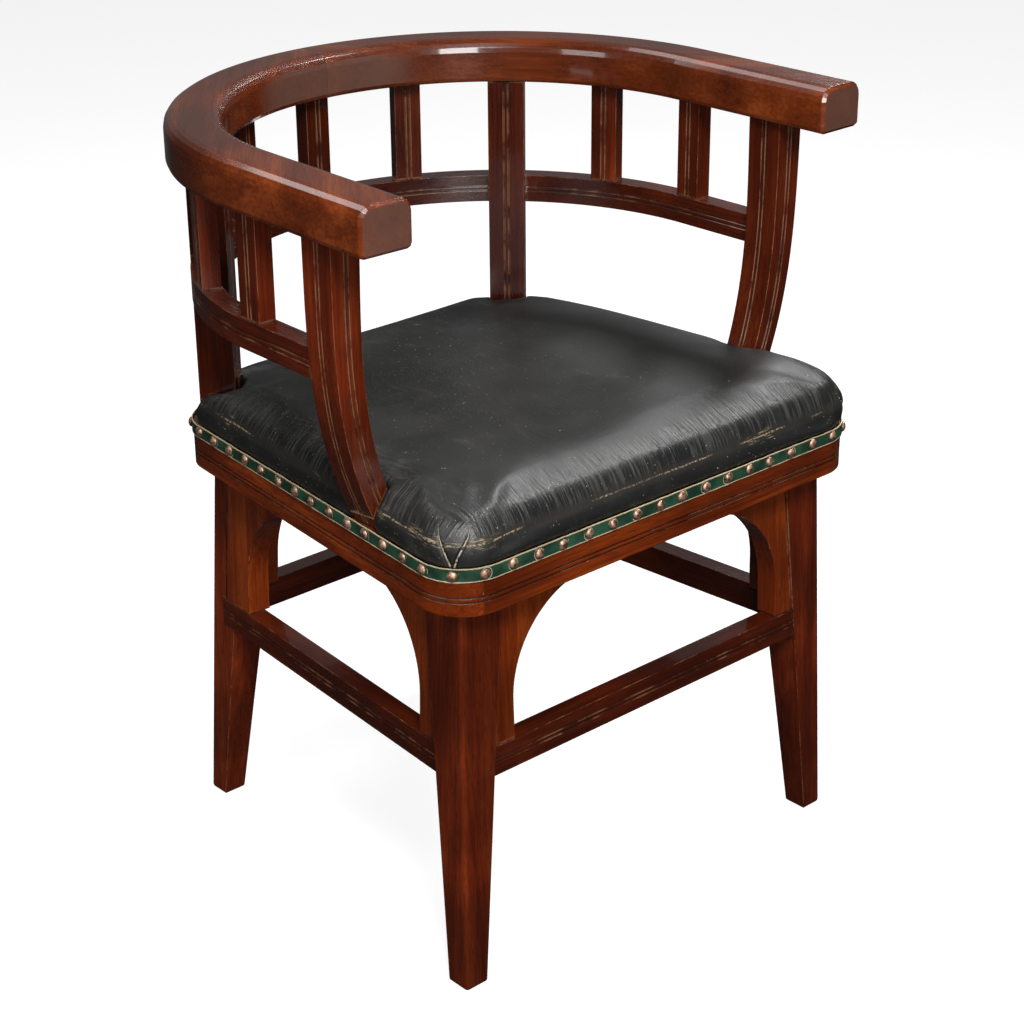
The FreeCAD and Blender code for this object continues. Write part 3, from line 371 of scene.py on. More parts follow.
@dataclass(frozen=True)
class SeatLeather:
    """Old black upholstery leather, creased over the roll and rubbed through on the arris."""

    name: str = "black_leather"
    black: Colour = (0.0085, 0.0088, 0.0086)
    grey: Colour = (0.0165, 0.0168, 0.0160)
    # Lighter rubbed colour for scuffs and for the crease ridges on the roll, where it is partly a painted
    # highlight.
    rubbed: Colour = (0.046, 0.045, 0.041)
    hide: Colour = (0.36, 0.27, 0.17)
    thread: Colour = (0.42, 0.35, 0.25)
    crack: Colour = (0.028, 0.024, 0.020)
    speck: Colour = (0.20, 0.19, 0.17)
    shadow: Colour = (0.004, 0.004, 0.004)
    arris_height: float = 0.4605
    arris_waver: float = 0.0035
    thin_line: Span = (0.0011, 0.0003)
    wide_line: Span = (0.0075, 0.0020)
    roll_start: Span = (0.458, 0.468)
    roll_end: Span = (0.484, 0.496)
    pleat_line: Span = (0.0011, 0.0004)
    pleat_shade: Span = (0.0035, 0.0010)
    turned_sideways: Span = (0.25, 0.60)
    turned_down: Span = (0.985, 0.90)
    long_grain: Point = (700.0, 60.0, 200.0)
    front_fold: Point = (420.0, 26.0, 22.0)
    side_fold: Point = (26.0, 420.0, 22.0)

    def material(self) -> Material:
        """Build the finish."""
        board = Board(self.name)
        spot = board.place()
        height = board.axes(spot)[2]
        cloud = board.noise(spot, scale=11.0, detail=4.0, rough=0.6)
        crumbs = board.noise(spot, scale=330.0, detail=3.0, rough=0.7)
        scuff = board.noise(board.mapped(spot, (60.0, 18.0, 40.0), turn=(0, 0, 0.5)), detail=5.0, rough=0.7)
        folds, roll = self.creases(board, spot, height)
        specks = board.window(board.noise(spot, scale=420.0, detail=1.0), (0.745, 0.77))
        wide, bare = self.rubbed_through(board, spot, height, crumbs)
        colour = board.blend(board.window(cloud, (0.42, 0.75)), self.black, self.grey)
        colour = board.tint(colour, board.window(scuff, (0.55, 0.80)), 0.55, self.rubbed)
        # Crease ridges on the roll in the lighter rubbed colour: partly rubbed leather, partly a painted
        # highlight.
        colour = board.tint(colour, board.times(roll, board.window(folds, (0.48, 0.60))), 0.65, self.rubbed)
        colour = board.blend(specks, colour, self.speck)
        colour = board.tint(colour, wide, 0.5, self.crack)
        colour = board.tint(colour, bare, 0.7, self.hide)
        shades = []
        for name in ("pleat_first", "pleat_second"):
            away = board.math("ABSOLUTE", board.own(name))
            shades.append(board.window(away, self.pleat_shade))
            stitches = board.times(board.window(away, self.pleat_line), board.window(crumbs, (0.40, 0.52)))
            colour = board.tint(colour, shades[-1], 0.75, self.shadow)
            colour = board.tint(colour, stitches, 0.9, self.thread)
        rough = board.plus(board.spread(cloud, (0.38, 0.56)), board.times(board.plus(bare, specks), 0.3))
        rough = board.less(rough, board.times(roll, 0.07), clamp=True)
        pebble = board.cells(spot, 950.0, "SMOOTH_F1")
        grain = board.noise(board.mapped(spot, self.long_grain, turn=(0, 0, 0.12)), detail=2.0)
        skin = board.plus(board.times(pebble, 0.35), board.times(grain, 0.65))
        relief = board.bump(skin, depth=0.00042, strength=0.75)
        relief = board.bump(board.times(folds, roll), depth=0.0016, strength=0.85, under=relief)
        relief = board.bump(scuff, depth=0.0006, strength=0.25, under=relief)
        seams = board.less(0.0, board.math("MAXIMUM", *shades))
        relief = board.bump(seams, depth=0.0012, strength=0.8, under=relief)
        return board.finish(colour, rough, relief, Specular_IOR_Level=0.38, Coat_Weight=0.06,
                            Coat_Roughness=0.34)

    def creases(self, board: Board, spot: Socket, height: Socket) -> tuple[Socket, Socket]:
        """Fine creases that run down over the roll.

        Args:
            board: The material's nodes.
            spot: Point on the leather.
            height: Its height.

        Returns:
            The creases, and the mask of the roll where they show.
        """
        facing = board.axes(board.node("ShaderNodeNewGeometry").outputs["Normal"])
        on_side = board.window(board.math("ABSOLUTE", facing[0]), self.turned_sideways)
        front = board.noise(board.mapped(spot, self.front_fold, turn=(0, 0, 0.06)), detail=3.0)
        side = board.noise(board.mapped(spot, self.side_fold), detail=3.0)
        folds = board.node("ShaderNodeMix", {0: on_side, 2: front, 3: side}).outputs[0]
        roll = board.times(board.window(height, self.roll_start),
                           board.less(1.0, board.window(height, self.roll_end)))
        return folds, board.times(roll, board.window(facing[2], self.turned_down))

    def rubbed_through(self, board: Board, spot: Socket, height: Socket,
                       crumbs: Socket) -> tuple[Socket, Socket]:
        """Broken line along the arris where the leather is rubbed through.

        Args:
            board: The material's nodes.
            spot: Point on the leather.
            height: Its height.
            crumbs: Fine noise that breaks the line.

        Returns:
            The mask of the darkened strip, and that of the bare hide in it.
        """
        waver = board.times(board.less(board.noise(spot, 30.0, 2.0), 0.5), self.arris_waver)
        level = board.math("ABSOLUTE", board.less(board.plus(height, waver), self.arris_height))
        wide = board.window(level, self.wide_line)
        length = board.noise(board.mapped(spot, (14.0, 14.0, 3.0)), detail=2.0)
        flakes = board.noise(board.mapped(spot, (70.0, 70.0, 900.0)), detail=3.0, rough=0.6)
        through = board.times(board.window(level, self.thin_line), board.window(crumbs, (0.44, 0.56)))
        through = board.times(through, board.window(length, (0.45, 0.55)))
        patch = board.times(wide, board.window(length, (0.55, 0.64)))
        patch = board.times(patch, board.window(flakes, (0.55, 0.62)))
        return wide, board.math("MAXIMUM", through, patch)


@dataclass(frozen=True)
class BandCloth:
    """Green leathercloth with a frayed cream edge, puckered round each nail."""

    name: str = "green_band"
    nail_pitch: float = 30.8
    width: float = 13.0
    green: Colour = (0.020, 0.066, 0.038)
    dark: Colour = (0.008, 0.026, 0.015)
    cream: Colour = (0.55, 0.46, 0.30)
    tan: Colour = (0.34, 0.25, 0.14)
    frayed_edge: Span = (0.415, 0.455)
    ring_radius: float = 5.6
    ring_line: Span = (0.6, 0.1)
    pressed_in: Span = (7.0, 4.6)

    def material(self) -> Material:
        """Build the finish. Distances from a nail are in millimetres."""
        board = Board(self.name)
        spot = board.place()
        u, v, _ = board.axes(board.node("ShaderNodeUVMap", uv_map="UVMap").outputs["UV"])
        crumbs = board.noise(spot, scale=420.0, detail=3.0, rough=0.7)
        cloud = board.noise(spot, scale=45.0, detail=3.0)
        from_middle = board.less(v, 0.5)
        fray = board.plus(board.math("ABSOLUTE", from_middle), board.times(board.less(crumbs, 0.5), 0.09))
        across = board.times(board.less(u, board.math("ROUND", u)), self.nail_pitch)
        up = board.times(from_middle, self.width)
        away = board.math("SQRT", board.plus(board.times(across, across), board.times(up, up)))
        ring = board.window(board.math("ABSOLUTE", board.less(away, self.ring_radius)), self.ring_line)
        ring = board.times(ring, board.window(board.noise(spot, scale=60.0), (0.50, 0.56)))
        pressed = board.window(away, self.pressed_in)
        bare = board.math("MAXIMUM", board.window(fray, self.frayed_edge), ring)
        colour = board.blend(board.window(cloud, (0.35, 0.7)), self.dark, self.green)
        colour = board.tint(colour, pressed, 0.6, self.dark)
        colour = board.tint(colour, bare, 0.9, board.blend(cloud, self.tan, self.cream))
        rough = board.plus(board.spread(cloud, (0.30, 0.44)), board.times(bare, 0.35))
        weave = board.noise(board.mapped(spot, (900.0, 900.0, 900.0)), detail=1.0)
        relief = board.bump(weave, depth=0.00010, strength=0.5)
        relief = board.bump(board.less(bare, pressed), depth=0.0006, strength=0.7, under=relief)
        return board.finish(colour, rough, relief, Specular_IOR_Level=0.5)


@dataclass(frozen=True)
class OldCopper:
    """Nail heads with a brown copper patina, rubbed bright on the dome."""

    name: str = "nail_copper"
    patina: Colour = (0.15, 0.085, 0.055)
    bright: Colour = (0.52, 0.33, 0.23)
    # Dark colour round the foot of each head: partly grime, partly painted shade.
    grime_and_shade_colour: Colour = (0.02, 0.012, 0.008)

    def material(self) -> Material:
        """Build the finish."""
        board = Board(self.name)
        spot = board.place()
        cloud = board.noise(spot, scale=260.0, detail=3.0, rough=0.6)
        pits = board.noise(spot, scale=900.0, detail=2.0)
        # Darker where the head meets the band, found by occlusion: partly grime, partly painted shade.
        grime_and_shade = board.window(board.closed_in(0.003, 4), (0.85, 0.35))
        colour = board.blend(board.window(cloud, (0.35, 0.65)), self.patina, self.bright)
        colour = board.tint(colour, grime_and_shade, 0.85, self.grime_and_shade_colour)
        rough = board.spread(board.plus(cloud, board.times(pits, 0.4)), (0.26, 0.58))
        relief = board.bump(pits, depth=0.00010, strength=0.5)
        return board.finish(colour, rough, relief, Metallic=0.85)


@dataclass(frozen=True)
class Jute:
    """Plain woven jute, as webbing or as bottom cloth."""

    name: str
    thread: float
    fibre: Colour = (0.34, 0.24, 0.13)
    faded: Colour = (0.20, 0.13, 0.07)
    gap: Colour = (0.07, 0.045, 0.022)

    def material(self) -> Material:
        """Build the finish."""
        board = Board(self.name)
        spot = board.place()
        threads = [board.math("SINE", board.times(axis, math.pi / self.thread))
                   for axis in board.axes(spot)[:2]]
        height = board.window(board.math("ABSOLUTE", board.times(*threads)), (0.0, 0.5))
        cloud = board.noise(spot, scale=40.0, detail=4.0)
        hair = board.noise(board.mapped(spot, (300.0, 1600.0, 300.0)), detail=2.0)
        colour = board.tint(board.blend(height, self.gap, self.fibre), cloud, 0.6, self.faded)
        relief = board.bump(board.plus(height, board.times(hair, 0.3)), depth=0.0005, strength=0.9)
        return board.finish(colour, board.spread(hair, (0.80, 0.96)), relief, Specular_IOR_Level=0.2)


@dataclass(frozen=True)
class Softwood:
    """Rough-sawn pine of the corner blocks, with hide glue at its joints."""

    name: str = "block_pine"
    pale: Colour = (0.42, 0.26, 0.12)
    summer: Colour = (0.24, 0.12, 0.045)
    glue: Colour = (0.10, 0.045, 0.015)

    def material(self) -> Material:
        """Build the finish."""
        board = Board(self.name)
        spot = board.place()
        rings = board.node("ShaderNodeTexWave", {"Vector": board.mapped(spot, (1.0, 1.0, 0.15)),
                                                 "Scale": 60.0, "Distortion": 3.0, "Detail": 2.0})
        saw = board.noise(board.mapped(spot, (40.0, 40.0, 900.0)), detail=2.0)
        joint = board.window(board.closed_in(0.008, 4), (0.85, 0.45))
        colour = board.tint(board.blend(rings.outputs["Fac"], self.pale, self.summer), joint, 0.7, self.glue)
        relief = board.bump(saw, depth=0.0003, strength=0.6)
        return board.finish(colour, board.spread(saw, (0.62, 0.82)), relief)


@dataclass(frozen=True)
class PaleFloor:
    """A plain white studio floor."""

    name: str = "studio_floor"
    white: Colour = (0.32, 0.32, 0.32)
    cloudy: Colour = (0.35, 0.35, 0.35)
    rough: float = 0.80
    glow: float = 0.80

    def material(self) -> Material:
        """Build the finish."""
        board = Board(self.name)
        colour = board.blend(board.noise(board.place(), scale=3.0), self.white, self.cloudy)
        return board.finish(colour, self.rough, Emission_Color=WHITE, Emission_Strength=self.glow,
                            Specular_IOR_Level=0.0)


def deselect() -> None:
    """Leave object mode's selection empty."""
    bpy.ops.object.select_all(action="DESELECT")
    bpy.context.view_layer.objects.active = None


def take_up(piece: Piece) -> None:
    """Select one piece and make it active."""
    deselect()
    piece.select_set(True)
    bpy.context.view_layer.objects.active = piece


def edit(piece: Piece, whole: bool = True) -> None:
    """Open a piece in edit mode, with all of it or nothing selected."""
    take_up(piece)
    bpy.ops.object.mode_set(mode="EDIT")
    bpy.ops.mesh.select_mode(type="FACE")
    bpy.ops.mesh.select_all(action="SELECT" if whole else "DESELECT")


def close() -> None:
    """Go back to object mode."""
    bpy.ops.object.mode_set(mode="OBJECT")


def added(name: str, data: bpy.types.ID) -> Piece:
    """Put a new object into the scene."""
    made = bpy.data.objects.new(name, data)
    bpy.context.scene.collection.objects.link(made)
    return made


def node_copy(node: str, name: str) -> Piece:
    """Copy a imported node's mesh into a new piece.

    Args:
        node: Name of the node.
        name: Name of the new piece.

    Returns:
        The new piece, with its doubles merged.
    """
    mesh = frame["nodes"][node].data.copy()
    mesh.materials.clear()
    piece = added(name, mesh)
    edit(piece)
    bpy.ops.mesh.customdata_custom_splitnormals_clear()
    bpy.ops.mesh.remove_doubles(threshold=MERGE)
    close()
    return piece


def cut(point: Sequence[float], normal: Sequence[float], **settings: bool) -> None:
    """Cut the open piece along a plane through a point."""
    bpy.ops.mesh.select_all(action="SELECT")
    bpy.ops.mesh.bisect(plane_co=point, plane_no=normal, **settings)


def keep_faces(piece: Piece, wanted: Callable[[bpy.types.MeshPolygon], bool]) -> None:
    """Delete the faces that aren't wanted.

    Args:
        piece: The piece to thin out.
        wanted: Says for a face whether it stays.
    """
    edit(piece, whole=False)
    close()
    for face in piece.data.polygons:
        face.select = not wanted(face)
    bpy.ops.object.mode_set(mode="EDIT")
    bpy.ops.mesh.delete(type="FACE")
    close()


def modify(piece: Piece, kind: str, **settings: object) -> None:
    """Add a modifier to a piece and apply it.

    Args:
        piece: The piece.
        kind: Blender's name of the modifier type.
        settings: Properties of the modifier.
    """
    take_up(piece)
    modifier = piece.modifiers.new(kind, kind)
    for name, value in settings.items():
        setattr(modifier, name, value)
    bpy.ops.object.modifier_apply(modifier=modifier.name)


def held_to_one(value: float) -> float:
    """A value kept between 0 and 1."""
    return max(0.0, min(1.0, value))


def paint(piece: Piece, material: Material) -> None:
    """Give a piece one material."""
    piece.data.materials.clear()
    piece.data.materials.append(material)


def smooth(piece: Piece, degrees: float = 180.0) -> None:
    """Shade a piece smooth up to an angle."""
    take_up(piece)
    bpy.ops.object.shade_smooth_by_angle(angle=math.radians(degrees))


def hand_over(piece: Piece, slot: str, *nodes: str) -> None:
    """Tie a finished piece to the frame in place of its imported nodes."""
    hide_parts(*nodes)
    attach(piece, "root")
    log.info("%s: %d faces, in place of %s", piece.name, len(piece.data.polygons), ", ".join(nodes))


@dataclass
class Woodwork:
    """The polished frame: every wooden piece, each with grain along its length."""

    front_shift: Point = (0.31, 0.07, 0.13)
    rear_shift: Point = (0.12, 0.45, 0.29)
    arm_wear: float = 0.76
    leg_wear: float = 0.56
    post_wear: float = 0.50
    arm_arris: float = 0.0016

    def finishes(self) -> dict[tuple[str, ...], Mahogany]:
        """The finishes, each for the nodes whose names start so. The lit tones are the red ones lightened as
        painted light, and the dim tones are them darkened as painted shade.
        """
        # Lit and dim tones are lighter and darker copies of the red: painted light on the seat rails and
        # brackets, painted shade on the stretchers, mid rails, rear posts and back slats.
        painted_light_tones = ((0.034, 0.0042, 0.0006), (0.152, 0.0210, 0.0021), (0.300, 0.0550, 0.0058))
        red = ((0.017, 0.0023, 0.0007), (0.106, 0.0130, 0.0025), (0.215, 0.0330, 0.0062))
        painted_shade_tones = ((0.012, 0.0018, 0.0006), (0.062, 0.0078, 0.0018), (0.125, 0.0190, 0.0042))
        top = ((0.028, 0.0046, 0.0011), (0.115, 0.0200, 0.0042), (0.230, 0.0500, 0.0100))
        arm = {"wear": self.arm_wear, "arris": self.arm_arris, "end_grain": True}
        front, rear = {"shift": self.front_shift}, {"shift": self.rear_shift}
        return {
            ("arm_rail_left",): Mahogany("arm_left", Grain.LEFT_BEND, *top, **arm),
            ("arm_rail_right",): Mahogany("arm_right", Grain.RIGHT_BEND, *top, **arm),
            ("seat_rail_front",): Mahogany("rail_across", Grain.ACROSS, *painted_light_tones, **front),
            ("seat_rail_rear",): Mahogany("rail_across_rear", Grain.ACROSS, *red, **rear),
            ("seat_rail_left", "seat_rail_right"): Mahogany("rail_side", Grain.DEPTH, *painted_light_tones, **front),
            ("stretcher_front", "stretcher_rear"): Mahogany("stretcher_across", Grain.ACROSS, *painted_shade_tones),
            ("stretcher_left", "stretcher_right"): Mahogany("stretcher_side", Grain.DEPTH, *painted_shade_tones),
            ("mid_rail_back",): Mahogany("rail_back", Grain.ACROSS, *painted_shade_tones),
            ("mid_rail_left", "mid_rail_right"): Mahogany("rail_bend", Grain.DEPTH, *painted_shade_tones),
            ("arch_",): Mahogany("bracket", Grain.UPRIGHT, *painted_light_tones, **rear),
            ("leg_",): Mahogany("leg", Grain.UPRIGHT, *red, self.leg_wear),
            ("rear_post", "back_slat"): Mahogany("rear_post", Grain.UPRIGHT, *painted_shade_tones, self.post_wear, **rear),
            ("front_post", "side_slat"): Mahogany("post", Grain.UPRIGHT, *red, self.post_wear, **front),
        }

    def dress(self) -> None:
        """Give every wooden node its finish."""
        for names, finish in self.finishes().items():
            self.fill(finish.material(), names)
        self.fill(Softwood().material(), ("corner_blocks",))

    def fill(self, material: Material, names: tuple[str, ...]) -> None:
        """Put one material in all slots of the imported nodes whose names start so."""
        for name, piece in frame["nodes"].items():
            if name.startswith(names):
                for slot in piece.material_slots:
                    slot.material = material
                log.info("%s takes the finish %s", name, material.name)


@dataclass
class Seat:
    """The stuffed leather seat."""

    voxel: float = 0.0055
    start_inset: float = 0.0012
    cut_heights: tuple[float, ...] = (0.4625, 0.467, 0.470, 0.476, 0.478, 0.483, 0.488, 0.492)
    full_height: float = 0.478
    full_reach: float = 0.014
    full_lift: float = 0.0100
    fullness: tuple[float, float, float, float] = (0.45, 1.15, 0.45, 0.45)
    bulge_height: float = 0.4640
    bulge: float = 0.0062
    roll_foot: float = 0.458
    roll_blend: float = 0.008
    rounding: int = 9
    rubbing: int = 3
    pinned_below: float = 0.4405
    pressure: float = 3.4
    stretch_stiffness: float = 40.0
    bend_stiffness: float = 8.0
    most_moved: float = 0.0038
    frames: int = 20
    corner_round: float = 0.0443
    rear_narrower: float = 0.0477
    corner_shares: Span = (1.06, 0.94)
    corner_facing: Span = (1.2, 0.85)
    corner_core: float = 0.012
    corner_fan: float = 1.0
    pleat_top: float = 0.468
    pleat_foot: float = 0.440
    pleat_spread: float = 0.0160
    pleat_close: float = 0.0020
    pleat_bow: float = 0.0015
    pleat_depth: float = 0.0016
    pleat_width: float = 0.0022
    pleat_fade: Span = (0.75, 0.45)
    fade_shift: float = 0.004
    no_pleat: float = 0.05
    posts: tuple[str, ...] = ("front_post_left", "front_post_right", "rear_post_left", "rear_post_right")
    clearance: float = 0.0004
    reach: float = 0.012
    level_face: float = 0.7
    stuffing: float = 0.8

    def build(self) -> None:
        """Build the seat, swell it, crease it and dress it."""
        piece = node_copy("seat_cushion", "leather_seat")
        edit(piece)
        bpy.ops.transform.shrink_fatten(value=-self.start_inset)
        close()
        self.fill_out(piece)
        piece.data.remesh_voxel_size = self.voxel
        take_up(piece)
        bpy.ops.object.voxel_remesh()
        self.mark_roll(piece)
        self.ease(piece, self.rounding)
        self.swell(piece)
        self.ease(piece, self.rubbing)
        modify(piece, "SUBSURF", levels=1, render_levels=1)
        self.pleat(piece)
        self.keep_clear(piece)
        smooth(piece)
        paint(piece, SeatLeather().material())
        hand_over(piece, "seat_leather", "seat_cushion")

    def fill_out(self, piece: Piece) -> None:
        """Stuff the shoulder out, so that the top turns down late, most on the right."""
        edit(piece)
        bpy.ops.mesh.tris_convert_to_quads()
        for height in self.cut_heights:
            cut((0, 0, height), UP)
        close()
        left, right, front, rear = self.fullness
        low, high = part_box("seat_cushion")
        middle, half = (low + high) / 2, (high - low) / 2
        for vertex in piece.data.vertices:
            x = (vertex.co.x - middle.x) / half.x
            y = (vertex.co.y - middle.y) / half.y
            sideways = (left if x < 0 else right) * x ** 4
            endways = (front if y < 0 else rear) * y ** 4
            share = (sideways + endways) / max(x ** 4 + y ** 4, 1e-6)
            far = (vertex.co.z - self.full_height) / self.full_reach
            around = (vertex.co.z - self.bulge_height) / self.full_reach
            if x > 0.0:
                vertex.co.x += self.bulge * x ** 4 * math.exp(-around * around)
            vertex.co.z += self.full_lift * share * math.exp(-far * far)

    def mark_roll(self, piece: Piece) -> None:
        """Mark the part above the nailed edge, which is eased."""
        group = piece.vertex_groups.new(name="roll")
        for vertex in piece.data.vertices:
            share = held_to_one((vertex.co.z - self.roll_foot) / self.roll_blend)
            if share > 0.0:
                group.add([vertex.index], share, "REPLACE")

    def ease(self, piece: Piece, iterations: int) -> None:
        """Smooth the marked part."""
        modify(piece, "SMOOTH", factor=0.5, iterations=iterations, vertex_group="roll")

    def swell(self, piece: Piece) -> None:
        """Blow the stuffing up a little under the nailed-down leather.

        Args:
            piece: The seat, whose mesh takes the shape.
        """
        rest = [vertex.co.copy() for vertex in piece.data.vertices]
        held = piece.vertex_groups.new(name="nailed")
        held.add([i for i, co in enumerate(rest) if co.z < self.pinned_below], 1.0, "REPLACE")
        cloth = piece.modifiers.new("Stuffing", "CLOTH")
        cloth.settings.vertex_group_mass = held.name
        cloth.settings.use_pressure = True
        cloth.settings.uniform_pressure_force = self.pressure
        cloth.settings.tension_stiffness = self.stretch_stiffness
        cloth.settings.compression_stiffness = self.stretch_stiffness
        cloth.settings.bending_stiffness = self.bend_stiffness
        cloth.settings.effector_weights.gravity = 0.0
        cloth.collision_settings.use_self_collision = False
        cloth.point_cache.frame_end = self.frames
        for number in range(1, self.frames + 1):
            bpy.context.scene.frame_set(number)
        take_up(piece)
        bpy.ops.object.modifier_apply(modifier=cloth.name)
        bpy.context.scene.frame_set(1)
        for vertex, start in zip(piece.data.vertices, rest):
            move = vertex.co - start
            if move.length > self.most_moved:
                vertex.co = start + move.normalized() * self.most_moved

    def corners(self) -> list[tuple[Vector, Vector]]:
        """Centre of each corner's rounding, and the way that it faces."""
        low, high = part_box("seat_cushion")
        sideways, endways = self.corner_facing
        ends = ((low.y, high.x, self.corner_shares[0]),
                (high.y, high.x - self.rear_narrower, self.corner_shares[1]))
        centres = []
        for side in (-1, 1):
            for end, half_width, share in ends:
                facing = Vector((side * sideways, math.copysign(endways, end), 0.0))
                centre = Vector((side * (half_width - self.corner_round * share),
                                 end - math.copysign(self.corner_round, end), 0.0))
                centres.append((centre, facing.normalized()))
        return centres

    def pleat(self, piece: Piece) -> None:
        """Fold two pleats into the leather at each corner and keep their lines for the finish."""
        mesh = piece.data
        stored = [mesh.attributes.new(name, "FLOAT", "POINT") for name in ("pleat_first", "pleat_second")]
        corners = self.corners()
        normals = [vertex.normal.copy() for vertex in mesh.vertices]
        for index, vertex in enumerate(mesh.vertices):
            values = [self.no_pleat, self.no_pleat]
            for centre, facing in corners:
                flat = Vector((vertex.co.x - centre.x, vertex.co.y - centre.y, 0.0))
                if flat.length < self.corner_core or flat.angle(facing) > self.corner_fan:
                    continue
                rise = (vertex.co.z - self.pleat_foot) / (self.pleat_top - self.pleat_foot)
                across = flat.cross(facing).z / flat.length * self.corner_round
                fade = 1.0 - held_to_one((rise - self.pleat_fade[0]) / self.pleat_fade[1])
                if fade <= 0.0:
                    continue
                for number, sign in enumerate((-1.0, 1.0)):
                    bow = self.pleat_bow * math.sin(math.pi * held_to_one(rise))
                    opening = (self.pleat_spread - self.pleat_close) * max(0.0, rise)
                    away = across - sign * (self.pleat_close + opening - bow)
                    values[number] = math.copysign(abs(away) + (1.0 - fade) * self.fade_shift, away)
                    if vertex.co.z > self.pinned_below:
                        depth = self.pleat_depth * fade * math.exp(-(away / self.pleat_width) ** 2)
                        vertex.co -= normals[index] * depth
            for attribute, value in zip(stored, values):
                attribute.data[index].value = value

    def keep_clear(self, piece: Piece) -> None:
        """Move what touches a post back to just clear of it."""
        for name in self.posts:
            post = frame["nodes"][name].data
            tree = BVHTree.FromPolygons([vertex.co for vertex in post.vertices],
                                        [tuple(face.vertices) for face in post.polygons])
            low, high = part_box(name)
            for vertex in piece.data.vertices:
                co = vertex.co
                if not (low.x - self.reach < co.x < high.x + self.reach
                        and low.y - self.reach < co.y < high.y + self.reach):
                    continue
                near, normal, _, distance = tree.find_nearest(co)
                outside = (co - near).dot(normal)
                if outside < self.clearance and distance < self.reach and abs(normal.z) < self.level_face:
                    vertex.co = near + normal * self.clearance


@dataclass
class SeatLine:
    """The line of the band round the seat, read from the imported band."""

    node: str = "seat_band"
    spacing: float = 0.0299
    start: Point = (-0.2490, -0.2555, 0.0)
    spots: list[tuple[float, Vector]] = field(default_factory=list)
    length: float = 0.0

    def outward(self, piece: Piece) -> None:
        """Keep only the face that looks out."""
        low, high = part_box(self.node)
        middle = (low + high) / 2

        def looks_out(face: bpy.types.MeshPolygon) -> bool:
            away = Vector((face.center.x - middle.x, face.center.y - middle.y, 0.0))
            return abs(face.normal.z) < TURNED_UP and face.normal.dot(away) > 0.0

        keep_faces(piece, looks_out)

    def read(self) -> None:
        """Walk round the band from the starting nail and note each point's way along."""
        piece = node_copy(self.node, "band_line")
        self.outward(piece)
        low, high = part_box(self.node)
        middle = (low + high) / 2
        points = [Vector((v.co.x, v.co.y, 0.0)) for v in piece.data.vertices if v.co.z > middle.z]
        bpy.data.objects.remove(piece)
        points.sort(key=lambda point: math.atan2(point.y - middle.y, point.x - middle.x))
        first = min(range(len(points)), key=lambda i: (points[i] - Vector(self.start)).length)
        points = points[first:] + points[:first + 1]
        self.spots = [(0.0, points[0])]
        for before, after in zip(points, points[1:]):
            self.length += (after - before).length
            self.spots.append((self.length, after))

    def count(self) -> int:
        """Number of nails in the line."""
        return round(self.length / self.spacing)

    def at(self, way: float) -> tuple[Vector, Vector]:
        """Point of the line and its outward direction.

        Args:
            way: Way along the line, in nails.

        Returns:
            The point and the direction, both level.
        """
        target = (way / self.count()) % 1.0 * self.length
        for (low, before), (high, after) in zip(self.spots, self.spots[1:]):
            if low <= target <= high and high > low:
                run = (after - before).normalized()
                return before.lerp(after, (target - low) / (high - low)), run.cross(UP)
        return self.spots[0][1], Vector((0, -1, 0))

    def way(self, co: Vector) -> float:
        """Way along the line of the spot nearest to a point, in nails."""
        best, found = 1.0, 0.0
        flat = Vector((co.x, co.y, 0.0))
        for (low, before), (high, after) in zip(self.spots, self.spots[1:]):
            run = after - before
            if run.length < 1e-7:
                continue
            share = held_to_one((flat - before).dot(run) / run.length_squared)
            distance = (before + run * share - flat).length
            if distance < best:
                best, found = distance, low + (high - low) * share
        return found / self.length * self.count()


@dataclass
class Band:
    """The green band along the foot of the leather, a strip of cloth held by the nails."""

    line: SeatLine
    thickness: float = 0.0012
    step: float = 0.008
    rows: tuple[float, ...] = (0.10, 0.35, 0.65, 0.90)
    flutter: float = 0.0005
    flutter_pace: float = 160.0
    edge_reach: float = 0.0002

    def divide(self, piece: Piece, low: Vector, high: Vector) -> None:
        """Cut the strip into short lengths and five rows."""
        cuts = []
        for axis, normal in ((0, (1, 0, 0)), (1, (0, 1, 0))):
            count = int((high[axis] - low[axis]) / self.step)
            for number in range(1, count):
                spot = [0.0, 0.0, 0.0]
                spot[axis] = low[axis] + (high[axis] - low[axis]) * number / count
                cuts.append((spot, normal))
        for share in self.rows:
            cuts.append(([0.0, 0.0, low.z + (high.z - low.z) * share], (0, 0, 1)))
        edit(piece)
        bpy.ops.mesh.tris_convert_to_quads()
        for spot, normal in cuts:
            cut(spot, normal)
        close()

    def lay_out(self, piece: Piece, low: Vector, high: Vector) -> None:
        """Give the strip its own coordinates: nails along it, and height across it."""
        nails = self.line.count()
        ways = [self.line.way(vertex.co) for vertex in piece.data.vertices]
        layer = piece.data.uv_layers.new(name="UVMap")
        for face in piece.data.polygons:
            corners = list(zip(face.loop_indices, face.vertices))
            wraps = max(ways[v] for _, v in corners) - min(ways[v] for _, v in corners) > nails / 2
            for loop, vertex in corners:
                u = ways[vertex] + (nails if wraps and ways[vertex] < nails / 2 else 0)
                layer.data[loop].uv = (u, (piece.data.vertices[vertex].co.z - low.z) / (high.z - low.z))

    def build(self) -> None:
        """Build and dress the band."""
        piece = node_copy("seat_band", "green_seat_band")
        low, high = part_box("seat_band")
        self.line.outward(piece)
        self.divide(piece, low, high)
        self.lay_out(piece, low, high)
        for vertex in piece.data.vertices:
            if min(vertex.co.z - low.z, high.z - vertex.co.z) < self.edge_reach:
                vertex.co.z += self.flutter * noise.noise(vertex.co * self.flutter_pace)
        modify(piece, "SOLIDIFY", thickness=self.thickness, offset=-1.0)
        smooth(piece, degrees=40.0)
        paint(piece, BandCloth().material())
        hand_over(piece, "band_cloth", "seat_band")


